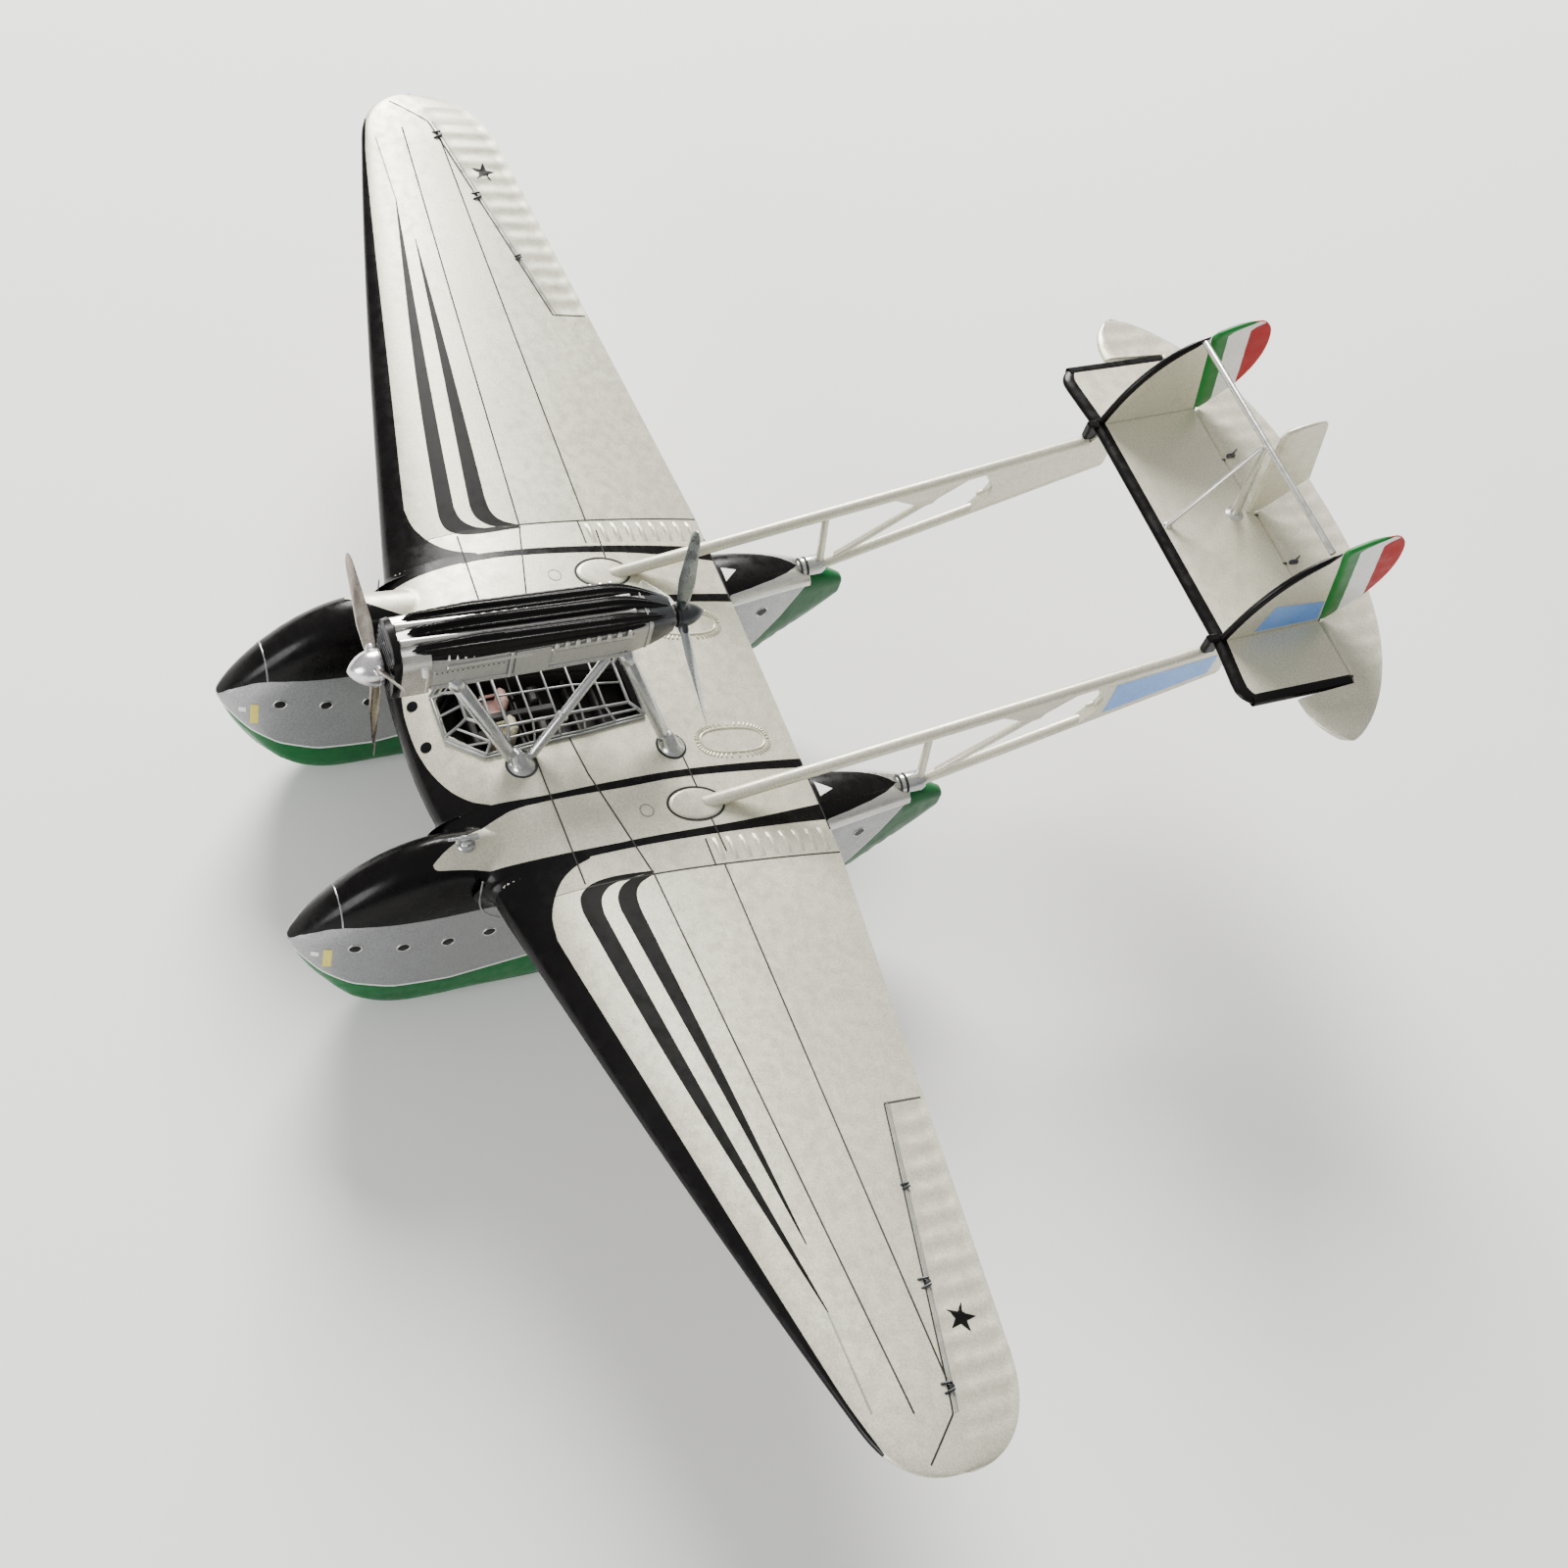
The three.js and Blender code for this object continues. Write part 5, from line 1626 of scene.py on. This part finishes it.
def rudder_rear(s):
    if s < 0.25:
        return Vector((50.6, FIN_FOOT)).lerp(Vector((53.7, 40.7)), s / 0.25)
    if s < 0.72:
        return bend((53.7, 40.7), (56.0, 44.2), (55.3, 47.6), (s - 0.25) / 0.47)
    return bend((55.3, 47.6), (54.7, 50.9), (52.2, 50.65), (s - 0.72) / 0.28)


def rudder_front(s):
    if s < 0.85:
        return Vector((49.95, FIN_FOOT)).lerp(Vector((47.3, 49.2)), s / 0.85)
    return bend((47.3, 49.2), (49.8, 50.5), (52.1, 50.68), (s - 0.85) / 0.15)


def centre_front(s):
    if s < 0.85:
        return Vector((48.9, FIN_FOOT)).lerp(Vector((47.6, 50.2)), s / 0.85)
    return bend((47.6, 50.2), (49.6, 51.3), (52.3, 51.38), (s - 0.85) / 0.15)


def centre_rear(s):
    if s < 0.3:
        return Vector((50.7, FIN_FOOT)).lerp(Vector((55.0, 42.0)), s / 0.3)
    if s < 0.85:
        return Vector((55.0, 42.0)).lerp(Vector((53.2, 50.2)), (s - 0.3) / 0.55)
    return bend((53.2, 50.2), (53.0, 51.3), (52.35, 51.4), (s - 0.85) / 0.15)


def make_fins():
    for name, side in SIDES.items():
        x = side * FIN_X
        fin = Skin()
        upright(fin, x, fin_front, hinge_line, 0.45, [(0.6, 6), (FULL_CHORD, 12)])
        fin.make(f"{name}_fin_skin", [BLACK, SILVER], "silver_paint", [f"{name}_fin"], sharp=60)
        rudder = Skin()
        upright(
            rudder, x, rudder_front, rudder_rear, 0.36, [(1.9, 6), (4.7, 6), (FULL_CHORD, 6)],
            ribs=0.03,
        )
        rudder.make(
            f"{name}_rudder_skin", [FLAG_GREEN, WHITE, RED], "green_paint", [f"{name}_rudder"],
            sharp=60,
        )
    centre = Skin()
    upright(centre, 0.0, centre_front, centre_rear, 0.36, [(FULL_CHORD, 14)], ribs=0.05)
    centre.make("centre_rudder_skin", [SILVER], "silver_paint", ["centre_rudder"], sharp=60)
    panel = Skin()
    rows = []
    for k in range(12):
        share = 0.3 + 0.68 * k / 11
        row = []
        for s in (0.03, 0.1, 0.17, 0.24, 0.3):
            place = fin_front(s).lerp(hinge_line(s), share)
            row.append(Vector((FIN_X + 0.45 * (1 - 0.7 * share) + 0.02, place.x, place.y)))
        rows.append(row)
    panel.grid(rows, toward=Vector((1, 0, 0)))
    panel.make("port_fin_blue_panel", [BLUE], "silver_paint", solid=False)


def make_tail_rods():
    reach = FIN_X - 0.4
    bar = Skin()
    rod(bar, (-reach, 46.4, 48.8), (reach, 46.4, 48.8), 0.36, sides=20)
    bar.make("rudder_top_tube", [BRIGHT_SILVER], "silver_paint", ["rudder_top_bar"])
    post = Skin()
    rod(post, (0, 47.4, 37.3), (0, 46.4, 48.6), 0.55, 0.3, sides=20)
    lathe(post, (0, 47.4, 37.35), UP, [(1.0, 0), (1.0, 0.2), (0.7, 0.35), (0.5, 0.5)], 24)
    post.make("rudder_post_tube", [BRIGHT_SILVER], "silver_paint", ["rudder_post"])
    brace = Skin()
    rod(brace, (0, 38.9, 37.5), (0, 45.9, 48.5), 0.26, sides=16)
    dome(brace, (0, 38.9, 37.5), UP, 0.5, sides=16)
    brace.make("tail_brace_rod", [BRIGHT_SILVER], "silver_paint", ["tail_brace"])


# ---------------------------------------------------------------- floor, light and camera

AIM = Vector((13.28, -11.03, 25.0))
DISTANCE = 222.96
AZIMUTH = 52.40
ELEVATION = 54.24
ROLL = 20.563
LENS = 50.865
SHIFT = (0.01607, -0.00438)
SENSOR_WIDTH = 36
FLOOR_REACH = 9000.0
# The lights' places, aim and sizes are in metres.
KEY_PLACE = (-0.66, 0.10, 0.48)
KEY_SIZE = 0.45
KEY_POWER = 20.0
KEY_COLOUR = (1, 0.985, 0.95)
FILL_PLACE = (0.24, -0.70, 0.28)
FILL_SIZE = 0.40
FILL_POWER = 5.0
LIGHT_AIM = (0, 0, 0.02)
SKY_STRENGTH = 0.7


def make_camera():
    camera = bpy.data.cameras.new("camera")
    camera.lens = LENS
    camera.sensor_width = SENSOR_WIDTH
    camera.shift_x, camera.shift_y = SHIFT
    camera.clip_start = 0.005
    view = bpy.data.objects.new("camera", camera)
    bpy.context.scene.collection.objects.link(view)
    azimuth, elevation = math.radians(AZIMUTH), math.radians(ELEVATION)
    flat = math.cos(elevation)
    back = Vector((math.sin(azimuth) * flat, -math.cos(azimuth) * flat, math.sin(elevation)))
    level = UP.cross(back).normalized()
    raised = back.cross(level)
    roll = math.radians(ROLL)
    right = level * math.cos(roll) + raised * math.sin(roll)
    above = back.cross(right)
    turn = Matrix((right, above, back)).transposed().to_4x4()
    view.matrix_world = Matrix.Translation((AIM + back * DISTANCE) * MM) @ turn
    bpy.context.scene.camera = view


def make_floor():
    mesh = bpy.data.meshes.new("floor")
    reach = FLOOR_REACH
    corners = [(-reach, -reach), (reach, -reach), (reach, reach), (-reach, reach)]
    mesh.from_pydata([(x * MM, y * MM, -0.00002) for x, y in corners], [], [(0, 1, 2, 3)])
    material = bpy.data.materials.new("floor")
    material.use_nodes = True
    tree = material.node_tree
    shader = tree.nodes["Principled BSDF"]
    place = tree.nodes.new("ShaderNodeTexCoord").outputs["Object"]
    colour = mix_colour(tree, noise(tree, place, 9.0), (0.86, 0.86, 0.86), (0.9, 0.9, 0.9))
    tree.links.new(colour, shader.inputs["Base Color"])
    shader.inputs["Roughness"].default_value = 0.9
    mesh.materials.append(material)
    floor = bpy.data.objects.new("floor", mesh)
    bpy.context.scene.collection.objects.link(floor)


def area_light(name, place, aim, size, power, colour=(1, 1, 1)):
    light = bpy.data.lights.new(name, "AREA")
    light.shape = "DISK"
    light.size = size
    light.energy = power
    light.color = colour
    lamp = bpy.data.objects.new(name, light)
    bpy.context.scene.collection.objects.link(lamp)
    lamp.location = place
    lamp.rotation_euler = (Vector(aim) - Vector(place)).to_track_quat("-Z", "Y").to_euler()


def make_light():
    """A pale sky that darkens toward the horizon, one large soft light and a fill."""
    world = bpy.data.worlds.new("studio")
    bpy.context.scene.world = world
    world.use_nodes = True
    tree = world.node_tree
    background = tree.nodes["Background"]
    place = tree.nodes.new("ShaderNodeTexCoord").outputs["Generated"]
    parts = tree.nodes.new("ShaderNodeSeparateXYZ")
    tree.links.new(place, parts.inputs["Vector"])
    strength = spread(tree, parts.outputs["Z"], 0.22, 0.62, 0.0, SKY_STRENGTH)
    tree.links.new(strength, background.inputs["Strength"])
    background.inputs["Color"].default_value = (1, 1, 1, 1)
    area_light("key", KEY_PLACE, LIGHT_AIM, KEY_SIZE, KEY_POWER, KEY_COLOUR)
    area_light("fill", FILL_PLACE, LIGHT_AIM, FILL_SIZE, FILL_POWER)


# ---------------------------------------------------------------- assembly

make_camera()
make_floor()
make_light()
make_wings()
for side_name, side_sign in SIDES.items():
    make_hull(side_name, side_sign)
    make_hull_details(side_name, side_sign)
make_gun()
make_cockpit()
make_canopy()
make_nose_ports()
make_nacelle()
make_radiator()
make_propeller("front_propeller", FRONT_PROPELLER_Y, 42, -1, 2.7, 1.75, [STEEL, BRONZE])
make_propeller("rear_propeller", REAR_PROPELLER_Y, 96, 1, 2.5, 1.25, [GUNMETAL, BLADE])
make_struts()
make_booms()
make_tailplane()
make_elevator()
make_fins()
make_tail_rods()
for node in ("front_propeller_pin", "rear_propeller_pin"):
    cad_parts[node].data.materials.clear()
    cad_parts[node].data.materials.append(STEEL)
